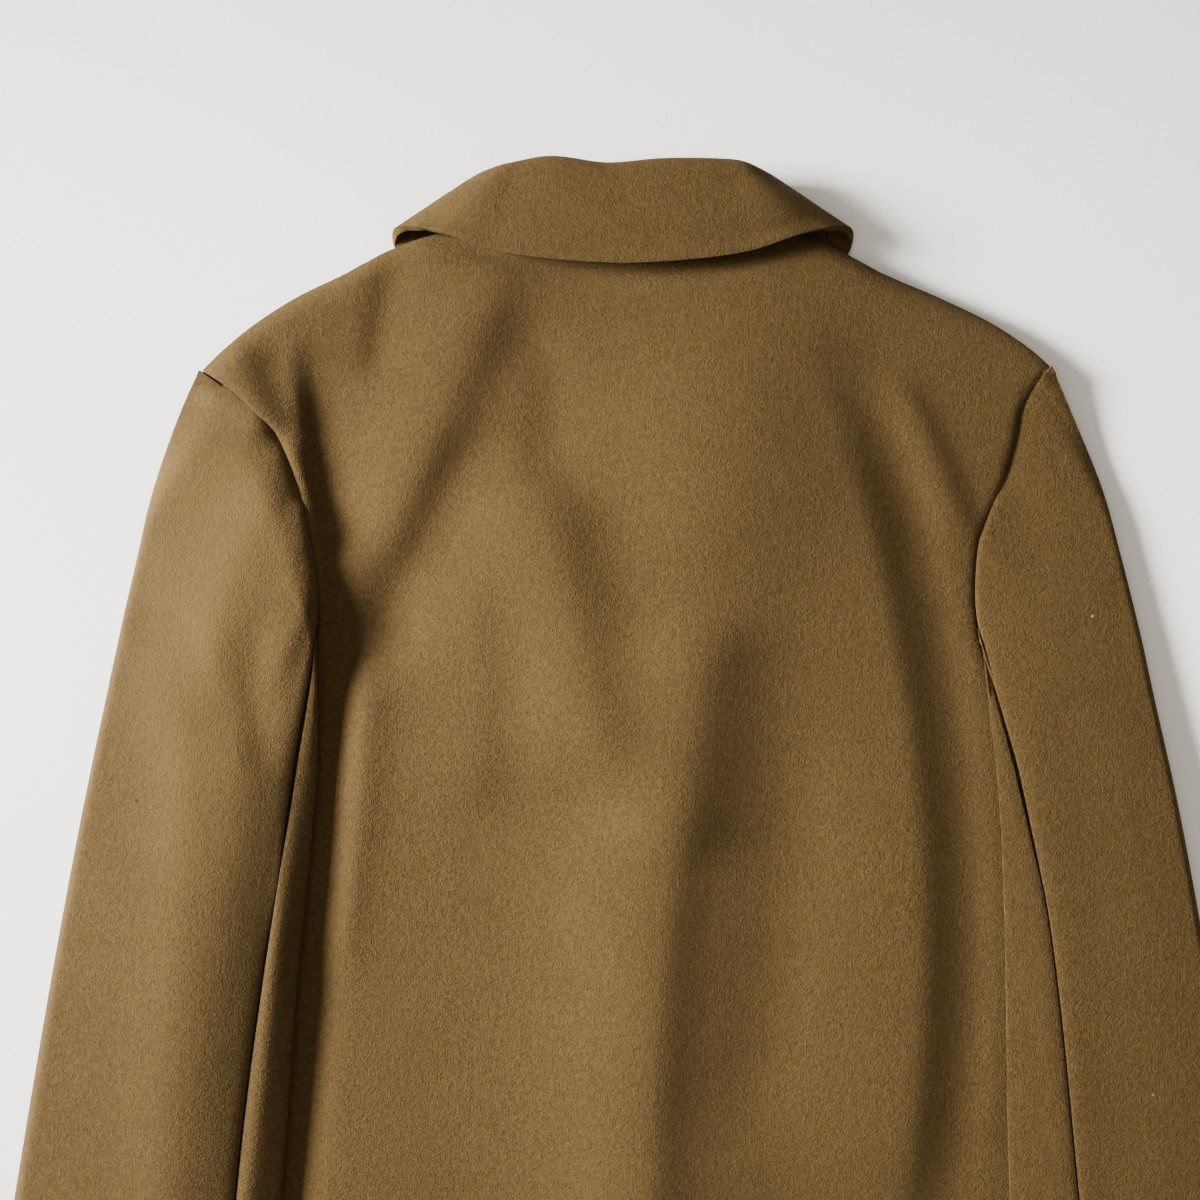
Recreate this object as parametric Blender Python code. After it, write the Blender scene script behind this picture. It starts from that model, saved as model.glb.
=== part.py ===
"""Fly-front wool coat, laid flat on its front, so that the back is up.

Lengths are in millimetres in the tables and become metres when a mesh is made.
X runs across the coat (+X is the wearer's right), Y from the hem to the collar,
Z up. In the tables the origin is on the centre line, level with the shoulder
points, on the surface that the coat lies on.
"""
import math
from collections import namedtuple
from functools import lru_cache

import bmesh
import bpy
from mathutils import Vector

MM = 0.001

# ---- driving sizes, mm -------------------------------------------------------
CLOTH = 2.0             # wool melton, one ply
COLLAR_CLOTH = 4.0      # leaf: two plies and the interlining between them
STAND_CLOTH = 2.6
GAP = 0.35              # clearance at a seam
FRONT_CLEAR = 3.2       # the sleeve's layer beside the front stays this far outside it,
FRONT_SPREAD = 200.0    # and its columns this far apart there, for one turn
MOUTH_THIN = 0.4        # share of the wall's thickness left at the pressed armhole seam
MOUTH_THIN_ROWS = 5.0   # rows over which it grows to the full wall
OUTER_TRIM = 1.0        # a sleeve's faces end this far short of its seams by the armhole,
INNER_TRIM = 3.4        # and the walls' inner faces this far
TRIM_FAR = 0.25         # share of that trim which is left away from the armhole
TRIM_MOST = 0.85        # largest share of a face's breadth that a trim may take
TRIM_ROWS = 8.0         # the row at which the trim is down to that share
TRIM_FADE_ROWS = 4.0
LOWEST_INNER = 0.5      # a sleeve's inner face stays this high over the floor
BACK_DRAW_IN = 0.8      # the back's armhole edge lies this far inside the seam line
FRONT_DRAW_IN = 1.2     # the fronts' side edges lie this far inside the back's
REST_GAP = 0.9          # a sleeve over the back, between their smooth faces
HEM_Y = -900.0
UNDERARM_Y = -248.0
CUFF_Y = -600.0
NECK_Y = 77.0           # neck seam at the centre back
NECK_HALF = 90.0
NECK_POINT_Y = 80.0
FRONT_NECK_Y = 8.0
COLLAR_END = 118.0      # the collar's folded end lies on the shoulder up to here
BUTTON_STAND = 28.0     # how far each front runs past the centre line
CENTRE_SHIFT_X = -5.0   # these two move the middle of the whole coat to the origin
CENTRE_SHIFT_Y = 393.0

BUTTON_COUNT = 4
BUTTON_R = 11.0
BUTTON_THICK = 2.4
BUTTON_TOP_Y = -84.0
BUTTON_STEP = 115.0
BUTTON_SIDES = 24
SHANK_R = 1.5
SLOT_LONG_PLAY = 2.0    # a buttonhole is this much longer than the button,
SLOT_WIDE_PLAY = 1.6    # and this much wider than its shank
SLOT_CUT = 8.0          # height of the block that cuts it
PLACKET_THICK = 1.5
PLACKET_HALF = 24.0
PLACKET_TOP_Y = -60.0
PLACKET_FOOT_Y = -470.0
PLACKET_ROWS = 20

FRONT_LEFT_Z = 0.0
BUTTON_Z = FRONT_LEFT_Z + CLOTH + GAP
PLACKET_Z = BUTTON_Z + BUTTON_THICK + GAP
FRONT_RIGHT_Z = PLACKET_Z + PLACKET_THICK + GAP
LEAF_STEP = COLLAR_CLOTH + GAP + 0.5
FRONT_LIFT_X = BUTTON_STAND + 34.0  # the right front lies at its button height up to here,
FRONT_LIFT_FADE = 28.0  # and this far on it is down
LEAF_UNDER_Y = -52.0    # the collar's front leaf reaches down to here under the fronts,
LEAF_UNDER_Y_FADE = 24.0
LEAF_UNDER_X = 170.0    # and out to here
LEAF_UNDER_X_FADE = 32.0
FRONT_NECK_BACK = 7.0   # the fronts' neck and inner shoulder stay this far below the back's
FRONT_NECK_OUT = 142.0
FRONT_NECK_FADE = 16.0
FRONT_NECK_BEND = 2.2   # power of the front neck's curve
FRONT_TURN = 12.0       # how far from the shoulder line a front starts to turn up
FRONT_TURN_Z = 9.4      # and how high its face comes there
FRONT_TURN_FADE = 16.0

# ---- half outlines of the body, mm: height up the coat, distance from centre --
Edge = namedtuple("Edge", "y out")
SIDE_SEAM = (Edge(-900, 300), Edge(-700, 291), Edge(-500, 283), Edge(-350, 275),
             Edge(-248, 266))
ARMHOLE = {
    -1: (Edge(-248, 266), Edge(-235, 244), Edge(-215, 216), Edge(-190, 190),
         Edge(-160, 171), Edge(-130, 163), Edge(-95, 167), Edge(-60, 176),
         Edge(-36, 186), Edge(-24, 196), Edge(-10, 212), Edge(1, 228)),
    1: (Edge(-248, 266), Edge(-235, 250), Edge(-215, 230), Edge(-190, 212),
        Edge(-160, 198), Edge(-130, 191), Edge(-95, 192), Edge(-80, 197),
        Edge(-58, 206), Edge(-36, 212), Edge(-18, 216), Edge(3, 231)),
}
SHOULDER = {
    -1: (Edge(1, 228), Edge(12, 217), Edge(25, 201), Edge(39, 179), Edge(52, 153),
         Edge(66, 127), Edge(80, 90)),
    1: (Edge(3, 231), Edge(12, 221), Edge(25, 202), Edge(39, 173), Edge(52, 144),
        Edge(66, 118), Edge(80, 90)),
}

# ---- sleeves, mm: a row for each level down the sleeve ---------------------------
Level = namedtuple("Level", "y outer inner seam crest")
SLEEVE = {
    -1: (Level(5, 230, 194, 194, 22), Level(-15, 239, 188, 188, 25),
         Level(-60, 252, 177, 177, 27), Level(-96, 260, 170, 170, 27),
         Level(-135, 269, 164, 168, 27), Level(-177, 278, 162, 171, 27),
         Level(-245, 292, 167, 180, 27), Level(-326, 307, 175, 193, 25),
         Level(-420, 323, 182, 205, 22), Level(-600, 352, 198, 222, 20)),
    1: (Level(5, 232, 208, 208, 15), Level(-15, 240, 203, 203, 15),
        Level(-60, 257, 198, 198, 15), Level(-96, 267, 192, 192, 16),
        Level(-140, 278, 193, 197, 18), Level(-177, 286, 196, 203, 20),
        Level(-231, 298, 202, 215, 23), Level(-300, 311, 205, 229, 22),
        Level(-420, 332, 207, 242, 20), Level(-600, 362, 214, 258, 19)),
}
Across = namedtuple("Across", "part high low")
SLEEVE_PROFILE = {       # share of the crest's height across a sleeve, high and low on it
    -1: (Across(0.0, 0.98, 0.76), Across(0.20, 0.97, 0.91), Across(0.38, 0.91, 0.98),
         Across(0.70, 0.75, 0.86), Across(1.0, 0.55, 0.66)),
    1: (Across(0.0, 0.93, 0.93), Across(0.20, 0.95, 0.95), Across(0.38, 0.92, 0.92),
        Across(0.70, 0.81, 0.81), Across(1.0, 0.66, 0.66)),
}
PROFILE_TURNS_Y = -135.0  # down to here the column high holds, and below it this far on,
PROFILE_TURN_LENGTH = 90.0  # the column low
SLEEVE_BULK = 6.4       # a sleeve's two layers and the air between them need at least this
SLEEVE_RIM = 6.0        # height of the sleeve's outer fold over what it lies on
RIM_PART = 0.13         # share of a sleeve face's way that turns round each edge
RIM_SHARE = 0.075       # share of the sleeve's width that this turn takes
FRONT_SEAM = 0.60       # place round the sleeve of the hidden seam from the underarm down
BACK_SEAM_START = -137.0  # height at which the back sleeve seam leaves the armhole
RIM_HEIGHT = {-1: 0.5, 1: 0.95}  # where its inner fold lies between its two layers
MOUTH_REACH = 75.0      # how far below the armhole the sleeve takes up its own width
MOUTH_RISE = {-1: 18.0, 1: 50.0}  # and its own height
MOUTH_FADE = 1.4        # power of both changes
MOUTH_SHARE = 0.5       # share of the rows that lie above the first level ring
RING_TOP_Y = -300.0     # height of that ring
SLEEVE_ROWS = 9         # rows of faces in each of the two halves
UNDER_COLUMNS = 15      # columns of faces round the sleeve: its under piece,
TOP_COLUMNS = 13        # its top piece up to the outer fold,
FRONT_PART_COLUMNS = 12  # and from that fold, underneath, to the front seam
SHOULDER_MID_Z = 11.6   # height of the shoulder point, where the coat turns under
SHOULDER_Z_PART = 9.0   # the armhole leaves that height within one part in this many
BACK_LIP_Y = -50.0      # below here the sleeve's mouth lies on the back's edge,
BACK_LIP_FADE = 35.0    # with this much of the armhole to rise on it
LOW_LIP = 3.0           # near the underarm it rises this much more,
LOW_LIP_FROM = 0.75     # from this part of the armhole
LOW_LIP_LENGTH = 0.2    # over this part
FRONT_LIP_Z = 8.0       # the mouth's height at the top of the front,
FRONT_LIP_PART = 6.0    # down on the floor within one part in this many
UNDERARM_OUT = 6.5      # the mouth lies this far outside the seam line at the underarm,
UNDERARM_FROM = 0.85    # from this part of the armhole on
SIDE_CLEAR = 5.0        # a sleeve leaves the back's edge for the floor this far outside it
SIDE_FALL = 24.0        # and comes down within this
UNDERARM_CLEAR = 5.0    # the same for its part by the front, below the underarm
UNDERARM_FALL = 40.0

# ---- height of the upper face of the back along its centre, mm ---------------
Loft = namedtuple("Loft", "y z")
BACK_LOFT = (Loft(-900, 12.0), Loft(-600, 11.5), Loft(-400, 11.0), Loft(-200, 12.0),
             Loft(-60, 15.0), Loft(20, 17.5), Loft(60, 18.5), Loft(90, 17.0))
DOME_HALF = 285.0       # the loft falls away from the centre line, up to this distance,
DOME_DROP = {-1: 0.16, 1: 0.46}  # by this share of it on the left and on the right
SIDE_EDGE_Z = 4.6       # upper face of the back at the side seam
SIDE_TURN = 34.0        # how far from its side seam the back starts to turn down
SIDE_TURN_RISE = 50.0   # the turned side runs up past the underarm by this,
SIDE_TURN_FADE = 70.0   # and fades over this
SHOULDER_TURN = 16.0    # and how far from the shoulder line
SHOULDER_FROM = 54.0    # the shoulder's turn begins this far out from the centre,
SHOULDER_FROM_FADE = 40.0
SHOULDER_LIFT = 0.4     # and ends this much over the shoulder point
BACK_ROWS = (17, 20)    # rows of faces below the underarm and above it
BACK_COLUMNS = 40
FRONT_ROWS = 34
FRONT_COLUMNS = 16

# ---- largest folds, mm: a row for each, with three points along its crest ----------
FOLD_FADE = 0.28        # share of a fold's length over which each end fades,
FOLD_PAST_END = 0.3     # and share of that fade which lies past its end point
Fold = namedtuple("Fold", "name top middle foot height left right")
FOLDS = (
    Fold("centre tent", (58, 40), (24, -240), (16, -560), 9.0, 56, 58),
    Fold("upper part of the tent", (46, -130), (36, -185), (26, -265), 5.0, 32, 26),
    Fold("steep side of the tent", (28, -235), (18, -320), (14, -520), 4.0, 48, 18),
    Fold("swell left of the centre", (-50, -50), (-28, -150), (-14, -225), 8.5, 42, 27),
    Fold("soft ridge left of the centre", (-88, -110), (-80, -170), (-82, -240), 2.5, 36, 16),
    Fold("diagonal from left blade", (-66, 62), (-106, -42), (-150, -128), 4.2, 26, 18),
    Fold("valley under the diagonal", (-80, -30), (-106, -92), (-144, -162), -2.5, 14, 24),
    Fold("first roll by left armhole", (-207, 18), (-203, -8), (-193, -32), 4.5, 20, 12),
    Fold("trough by left armhole", (-170, 10), (-162, -50), (-150, -165), -5.5, 8, 34),
    Fold("beside the left sleeve", (-150, -140), (-160, -285), (-186, -520), -4.0, 20, 10),
    Fold("long right ridge", (96, 14), (152, -215), (136, -500), 6.5, 66, 20),
    Fold("step beside the crest", (92, -190), (88, -270), (66, -420), -2.0, 30, 24),
    Fold("wedge by right armhole", (146, -2), (168, -47), (185, -91), 2.2, 14, 8),
    Fold("hem wave left", (-150, -560), (-160, -720), (-170, -930), 4.0, 40, 34),
    Fold("hem wave centre", (30, -600), (40, -760), (52, -930), 4.5, 38, 34),
    Fold("hem wave right", (170, -560), (178, -720), (190, -930), 4.0, 36, 34),
)
SLEEVE_FOLDS = (
    Fold("left head", (-226, -20), (-222, -90), (-216, -180), 2.0, 12, 12),
    Fold("roof of the left upper arm", (-184, -30), (-185, -100), (-196, -178), 2.0, 40, 8),
    Fold("roof of the left lower arm", (-196, -190), (-212, -290), (-230, -520), 4.0, 46, 20),
    Fold("left outer ridge", (-238, -120), (-236, -280), (-262, -560), 1.5, 18, 16),
)

ROUGHNESS = {"melton": 0.92, "melton_under": 0.92, "button": 0.4}
COLOURS = {
    "melton": (0.205, 0.122, 0.042, 1.0),
    "melton_under": (0.185, 0.108, 0.037, 1.0),
    "button": (0.045, 0.026, 0.014, 1.0),
}


# ---- small maths ---------------------------------------------------------------
def smooth_step(value):
    """0 below 0, 1 above 1, with a soft start and end."""
    value = min(1.0, max(0.0, value))
    return value * value * (3.0 - 2.0 * value)


def lerp(first, second, part):
    return first + (second - first) * part


def read_curve(xs, ys, x):
    """Smooth curve through the points (xs rising), by Hermite pieces."""
    if x <= xs[0]:
        return ys[0] + (ys[1] - ys[0]) / (xs[1] - xs[0]) * (x - xs[0])
    if x >= xs[-1]:
        return ys[-1] + (ys[-1] - ys[-2]) / (xs[-1] - xs[-2]) * (x - xs[-1])
    last = len(xs) - 1
    i = max(k for k in range(last) if xs[k] <= x)

    def slope(k):
        before = max(0, k - 1)
        after = min(last, k + 1)
        return (ys[after] - ys[before]) / (xs[after] - xs[before])

    step = xs[i + 1] - xs[i]
    t = (x - xs[i]) / step
    return ((2 * t ** 3 - 3 * t ** 2 + 1) * ys[i] + (t ** 3 - 2 * t ** 2 + t) * step * slope(i)
            + (3 * t ** 2 - 2 * t ** 3) * ys[i + 1] + (t ** 3 - t ** 2) * step * slope(i + 1))


@lru_cache(maxsize=None)
def columns_of(rows, key, field):
    """The key column and one other of a table, in rising order of the key."""
    ordered = sorted(rows, key=lambda row: getattr(row, key))
    return [getattr(row, key) for row in ordered], [getattr(row, field) for row in ordered]


def read_rows(rows, field, y, key="y"):
    """Value of one named column of a table at height y."""
    xs, ys = columns_of(rows, key, field)
    return read_curve(xs, ys, y)


def through_three(fold, y):
    """X of a fold's crest at height y, through its three points."""
    (x0, y0), (x1, y1), (x2, y2) = fold.top, fold.middle, fold.foot
    return (x0 * (y - y1) * (y - y2) / ((y0 - y1) * (y0 - y2))
            + x1 * (y - y0) * (y - y2) / ((y1 - y0) * (y1 - y2))
            + x2 * (y - y0) * (y - y1) / ((y2 - y0) * (y2 - y1)))


def fold_height(folds, x, y):
    """Sum of the folds' heights at one place."""
    total = 0.0
    for fold in folds:
        top_y = fold.top[1]
        foot_y = fold.foot[1]
        fade = FOLD_FADE * (top_y - foot_y)
        along = smooth_step((top_y + FOLD_PAST_END * fade - y) / fade)
        along *= smooth_step((y - foot_y + FOLD_PAST_END * fade) / fade)
        if along <= 0.0:
            continue
        held = min(top_y, max(foot_y, y))
        slope = (through_three(fold, held + 1.0) - through_three(fold, held - 1.0)) / 2.0
        across = (x - through_three(fold, held)) / math.hypot(1.0, slope)
        width = fold.left if across < 0 else fold.right
        total += fold.height * along * math.exp(-(across / width) ** 2)
    return total


# ---- the body's surfaces -----------------------------------------------------
def body_edge(side, y):
    """Distance of the body's cut edge from the centre line."""
    if y < UNDERARM_Y:
        return read_rows(SIDE_SEAM, "out", y)
    return read_rows(ARMHOLE[side], "out", y)


def shoulder_y(side, out):
    """Height up the coat of the shoulder line and the back neck seam."""
    if out >= NECK_HALF:
        return read_rows(SHOULDER[side], "y", out, key="out")
    part = out / NECK_HALF
    return lerp(NECK_Y, NECK_POINT_Y, smooth_step(part) * part)


def back_top(x, y):
    """Height of the upper face of the back, before its edges turn down."""
    side = -1 if x < 0 else 1
    dome = 1.0 - DOME_DROP[side] * min(1.0, abs(x) / DOME_HALF) ** 2
    return read_rows(BACK_LOFT, "z", y) * dome + fold_height(FOLDS, x, y)


def round_over(distance, reach):
    """0 at an edge and 1 at reach from it, round like a folded cloth."""
    part = min(1.0, max(0.0, distance / reach))
    return math.sqrt(1.0 - (1.0 - part) ** 2)


def back_point(side, out, y, to_shoulder):
    """Point of the back's upper face; its sides and shoulders turn down."""
    x = side * out
    z = back_top(x, y)
    below_arm = smooth_step((UNDERARM_Y + SIDE_TURN_RISE - y) / SIDE_TURN_FADE)
    turn = round_over(body_edge(side, min(y, UNDERARM_Y)) - out, SIDE_TURN)
    z = lerp(z, lerp(SIDE_EDGE_Z, z, turn), below_arm)
    if out > SHOULDER_FROM:
        rolled = round_over(to_shoulder, SHOULDER_TURN)
        outside = smooth_step((out - SHOULDER_FROM) / SHOULDER_FROM_FADE)
        z = lerp(z, lerp(SHOULDER_MID_Z + SHOULDER_LIFT, z, rolled), outside)
    return (x, y, z)


def body_rows(row_ys, columns, top_rise):
    """Rows of (side, out, y) from the body's left edge to its right edge, hem to top."""
    grid = []
    for level in row_ys:
        row = []
        for i in range(columns + 1):
            u = 2.0 * i / columns - 1.0
            side = -1 if u < 0 else 1
            shoulder_level = ARMHOLE[side][-1].y
            edge_y = lerp(HEM_Y, UNDERARM_Y, level) if level <= 1.0 else \
                lerp(UNDERARM_Y, shoulder_level, level - 1.0)
            out = (body_edge(side, edge_y) - BACK_DRAW_IN * smooth_step(level - 1.0)) * abs(u)
            top = top_rise(side, ARMHOLE[side][-1].out * abs(u))
            y = edge_y + max(0.0, level - 1.0) * (top - shoulder_level)
            row.append((side, out, y))
        grid.append(row)
    return grid


def make_back():
    below, above = BACK_ROWS
    levels = [i / below for i in range(below)] + [1.0 + i / above for i in range(above + 1)]
    grid = []
    for row in body_rows(levels, BACK_COLUMNS, shoulder_y):
        grid.append([back_point(side, out, y, shoulder_y(side, out) - y)
                     for side, out, y in row])
    return make_cloth("back", grid, CLOTH, "melton")


# ---- the fronts ------------------------------------------------------------------
def over_leaf(x, y):
    """1 where the collar's front leaf lies under a front, 0 away from it."""
    return (smooth_step((y - LEAF_UNDER_Y) / LEAF_UNDER_Y_FADE)
            * smooth_step((LEAF_UNDER_X - abs(x)) / LEAF_UNDER_X_FADE))


def front_top_y(side, out):
    """A front's top: the shoulder, then the neck seam down to the centre front."""
    if out >= NECK_HALF:
        inner = smooth_step((FRONT_NECK_OUT - out) / FRONT_NECK_FADE)
        return shoulder_y(side, out) - FRONT_NECK_BACK * inner
    part = (max(0.0, out) / NECK_HALF) ** FRONT_NECK_BEND
    return lerp(FRONT_NECK_Y, NECK_POINT_Y - FRONT_NECK_BACK, part)


def front_floor(side, x, y):
    """Height of the under face of a front."""
    under = LEAF_STEP * over_leaf(x, y)
    if side < 0:
        return FRONT_LEFT_Z + under
    return under + FRONT_RIGHT_Z * smooth_step((FRONT_LIFT_X - x) / FRONT_LIFT_FADE)


def make_front(side, name):
    grid = []
    for j in range(FRONT_ROWS + 1):
        level = 2.0 * j / FRONT_ROWS
        row = []
        for i in range(FRONT_COLUMNS + 1):
            u = i / FRONT_COLUMNS
            shoulder_level = ARMHOLE[side][-1].y
            edge_y = lerp(HEM_Y, UNDERARM_Y, level) if level <= 1.0 else \
                lerp(UNDERARM_Y, shoulder_level, level - 1.0)
            out = lerp(-BUTTON_STAND, body_edge(side, edge_y) - FRONT_DRAW_IN, u)
            top = front_top_y(side, lerp(-BUTTON_STAND, ARMHOLE[side][-1].out, u))
            y = edge_y + max(0.0, level - 1.0) * (top - shoulder_level)
            x = side * out
            z = front_floor(side, x, y) + CLOTH
            row.append((x, y, z))
        grid.append(row)
    turn_up(grid, side)
    return make_cloth(name, grid, CLOTH, "melton_under", flip=side < 0)


def turn_up(grid, side):
    """Lift a front's shoulder edge to meet the back's, on a quarter round."""
    for j, row in enumerate(grid):
        for i, (x, y, z) in enumerate(row):
            out = side * x
            if out < NECK_HALF:
                continue
            gap = front_top_y(side, out) - y
            lift = 1.0 - round_over(gap, FRONT_TURN)
            lift *= smooth_step((out - COLLAR_END) / FRONT_TURN_FADE)
            grid[j][i] = (x, y, z + lift * max(0.0, FRONT_TURN_Z - z))


def make_placket():
    grid = []
    for j in range(PLACKET_ROWS + 1):
        y = lerp(PLACKET_FOOT_Y, PLACKET_TOP_Y, j / PLACKET_ROWS)
        grid.append([(x, y, PLACKET_Z + PLACKET_THICK) for x in (-PLACKET_HALF, PLACKET_HALF)])
    placket = make_cloth("fly_placket", grid, PLACKET_THICK, "melton_under")
    slots = bmesh.new()
    for k in range(BUTTON_COUNT):
        made = bmesh.ops.create_cube(slots, size=MM)
        spot = button_y(k)
        for vert in made["verts"]:
            size = Vector((2 * BUTTON_R + SLOT_LONG_PLAY, 2 * SHANK_R + SLOT_WIDE_PLAY, SLOT_CUT))
            vert.co = vert.co * size + Vector(placed(0.0, spot, PLACKET_Z))
    cutter = object_from(slots, "placket_slots", "melton_under")
    cutter.hide_render = True
    cutter.display_type = "WIRE"
    cut = placket.modifiers.new("buttonholes", "BOOLEAN")
    cut.operation = "DIFFERENCE"
    cut.object = cutter
    return placket


def button_y(k):
    return BUTTON_TOP_Y - k * BUTTON_STEP


def make_buttons():
    """A flat disc with a short shank that runs through the placket."""
    top = FRONT_RIGHT_Z - GAP
    profile = ((BUTTON_R, BUTTON_Z), (BUTTON_R, BUTTON_Z + BUTTON_THICK),
               (SHANK_R, BUTTON_Z + BUTTON_THICK), (SHANK_R, top))
    for k in range(BUTTON_COUNT):
        mesh = bmesh.new()
        rings = []
        for radius, z in profile:
            ring = []
            for n in range(BUTTON_SIDES):
                turn = 2 * math.pi * n / BUTTON_SIDES
                ring.append(mesh.verts.new((radius * MM * math.cos(turn),
                                            radius * MM * math.sin(turn), z * MM)))
            rings.append(ring)
        for low, high in zip(rings, rings[1:]):
            for n in range(BUTTON_SIDES):
                after = (n + 1) % BUTTON_SIDES
                mesh.faces.new((low[n], low[after], high[after], high[n]))
        mesh.faces.new(list(reversed(rings[0])))
        mesh.faces.new(rings[-1])
        button = object_from(mesh, "button_%d" % (k + 1), "button")
        button.location = placed(0.0, button_y(k), 0.0)


# ---- sleeves -------------------------------------------------------------------
def resting_height(side, out, y):
    """What a sleeve's under layer lies on: the back, then the floor beside it."""
    edge = body_edge(side, min(y, UNDERARM_Y))
    z = back_top(side * min(out, edge), y) + REST_GAP
    return lerp(z, 0.0, smooth_step((out - edge - SIDE_CLEAR) / SIDE_FALL))


def rim_path(part):
    """Across the sleeve (0 to 1) and fullness (0 at a fold's edge) at part of its face."""
    from_edge = min(part, 1.0 - part)
    if from_edge < RIM_PART:
        angle = from_edge / RIM_PART * math.pi / 2
        across = RIM_SHARE * (1.0 - math.cos(angle))
        full = math.sin(angle)
    else:
        across = lerp(RIM_SHARE, 0.5, (from_edge - RIM_PART) / (0.5 - RIM_PART))
        full = 1.0
    return (across if part < 0.5 else 1.0 - across), full


def profile_share(side, across, y):
    """Part of the crest's height that the sleeve's top has at one place."""
    high = read_rows(SLEEVE_PROFILE[side], "high", across, key="part")
    low = read_rows(SLEEVE_PROFILE[side], "low", across, key="part")
    return lerp(high, low, smooth_step((PROFILE_TURNS_Y - y) / PROFILE_TURN_LENGTH))


def sleeve_ring(side, turn, y, by_front=False):
    """Point round the sleeve: 0 inner fold, 0.5 outer fold, over the top between.

    The part sewn to the front lies outside the body, so it starts on the floor.
    """
    turn = turn % 1.0
    outer = read_rows(SLEEVE[side], "outer", y)
    inner = read_rows(SLEEVE[side], "inner", y)
    on_top = turn <= 0.5
    across, full = rim_path(2.0 * turn if on_top else 2.0 - 2.0 * turn)
    out = lerp(inner, outer, across)
    crest = read_rows(SLEEVE[side], "crest", y)
    inner_low = resting_height(side, inner, y)
    inner_top = max(crest * profile_share(side, 0.0, y), inner_low + SLEEVE_BULK)
    inner_rim = lerp(inner_low, inner_top, RIM_HEIGHT[side])
    rim = lerp(inner_rim, SLEEVE_RIM, smooth_step(across))
    if on_top:
        top = crest * profile_share(side, across, y)
        top += fold_height(SLEEVE_FOLDS, side * out, y)
        top = max(top, resting_height(side, out, y) + SLEEVE_BULK)
        return (side * out, y, lerp(rim, top, full))
    low = resting_height(side, out, y)
    if by_front:
        low *= smooth_step((UNDERARM_Y - UNDERARM_CLEAR - y) / UNDERARM_FALL)
        rim = SLEEVE_RIM
    return (side * out, y, lerp(rim, low, full))


def seam_turn(side, y):
    """Place round the sleeve of the back seam at height y."""
    outer = read_rows(SLEEVE[side], "outer", y)
    inner = read_rows(SLEEVE[side], "inner", y)
    seam = read_rows(SLEEVE[side], "seam", y)
    across = min(1.0, max(0.0, (seam - inner) / (outer - inner)))
    if across < RIM_SHARE:
        part = math.acos(1.0 - across / RIM_SHARE) / (math.pi / 2) * RIM_PART
    else:
        part = lerp(RIM_PART, 0.5, (across - RIM_SHARE) / (0.5 - RIM_SHARE))
    return part / 2.0


def mouth_point(side, part):
    """Armhole seam: 0 shoulder, 0.5 underarm, 1 shoulder again by the front."""
    shoulder_level = ARMHOLE[side][-1].y
    on_back = part <= 0.5
    along = part / 0.5 if on_back else (1.0 - part) / 0.5
    y = lerp(shoulder_level, UNDERARM_Y, along)
    out = body_edge(side, y)
    if on_back:
        z = back_point(side, out, y, max(0.0, shoulder_y(side, out) - y))[2]
        z += (CLOTH + REST_GAP) * smooth_step((BACK_LIP_Y - y) / BACK_LIP_FADE)
        z += LOW_LIP * smooth_step((along - LOW_LIP_FROM) / LOW_LIP_LENGTH)
    else:
        z = lerp(FRONT_LIP_Z, 0.0, smooth_step(along * FRONT_LIP_PART))
    z = lerp(SHOULDER_MID_Z, z, smooth_step(along * SHOULDER_Z_PART))
    near_underarm = smooth_step((along - UNDERARM_FROM) / (1.0 - UNDERARM_FROM))
    return (side * (out + GAP + UNDERARM_OUT * near_underarm), y, z)


def sleeve_point(side, turn, part, v):
    """Point of a sleeve: turn round it, part of the armhole it starts at, v to the cuff."""
    mouth = mouth_point(side, part)
    if v < MOUTH_SHARE:
        y = lerp(mouth[1], RING_TOP_Y, v / MOUTH_SHARE)
    else:
        y = lerp(RING_TOP_Y, CUFF_Y, (v - MOUTH_SHARE) / (1.0 - MOUTH_SHARE))
    by_front = part > 0.5
    here = sleeve_ring(side, turn(y), y, by_front)
    start = sleeve_ring(side, turn(mouth[1]), mouth[1], by_front)
    hold = max(0.0, 1.0 - (mouth[1] - y) / MOUTH_REACH) ** MOUTH_FADE
    rise = max(0.0, 1.0 - (mouth[1] - y) / MOUTH_RISE[side]) ** MOUTH_FADE
    x = here[0] + (mouth[0] - start[0]) * hold
    z = here[2] + (mouth[2] - start[2]) * rise
    floor = 0.0
    if part < 0.5 and v > 0.0 and turn(y) > 0.5:
        floor = resting_height(side, side * x, y)
    if by_front and v > 0.0:
        clear = FRONT_CLEAR + FRONT_SPREAD * (FRONT_SEAM - turn(y))
        x = side * max(side * x, body_edge(side, y) + clear)
    return (x, y, max(z, floor))


def sleeve_columns(side):
    """Columns round the sleeve from the front seam: (turn at height y, armhole part)."""
    shoulder_level = ARMHOLE[side][-1].y
    seam_part = 0.5 * (shoulder_level - BACK_SEAM_START) / (shoulder_level - UNDERARM_Y)

    def column(first, last, part):
        return lambda y: lerp(first(y), last(y), part)

    def at_front(y):
        return FRONT_SEAM

    def at_back(y):
        return seam_turn(side, y)

    def past_fold(y):
        return 1.0 + seam_turn(side, y)

    def at_outer(y):
        return 0.5

    stretches = ((at_front, past_fold, 0.5, seam_part, UNDER_COLUMNS),
                 (at_back, at_outer, seam_part, 0.0, TOP_COLUMNS),
                 (at_outer, at_front, 1.0, 0.5, FRONT_PART_COLUMNS))
    made = []
    seams = []
    for first, last, part_a, part_b, count in stretches:
        seams.append(len(made))
        for i in range(count):
            made.append((column(first, last, i / count), lerp(part_a, part_b, i / count)))
    return made, seams[1]


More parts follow.
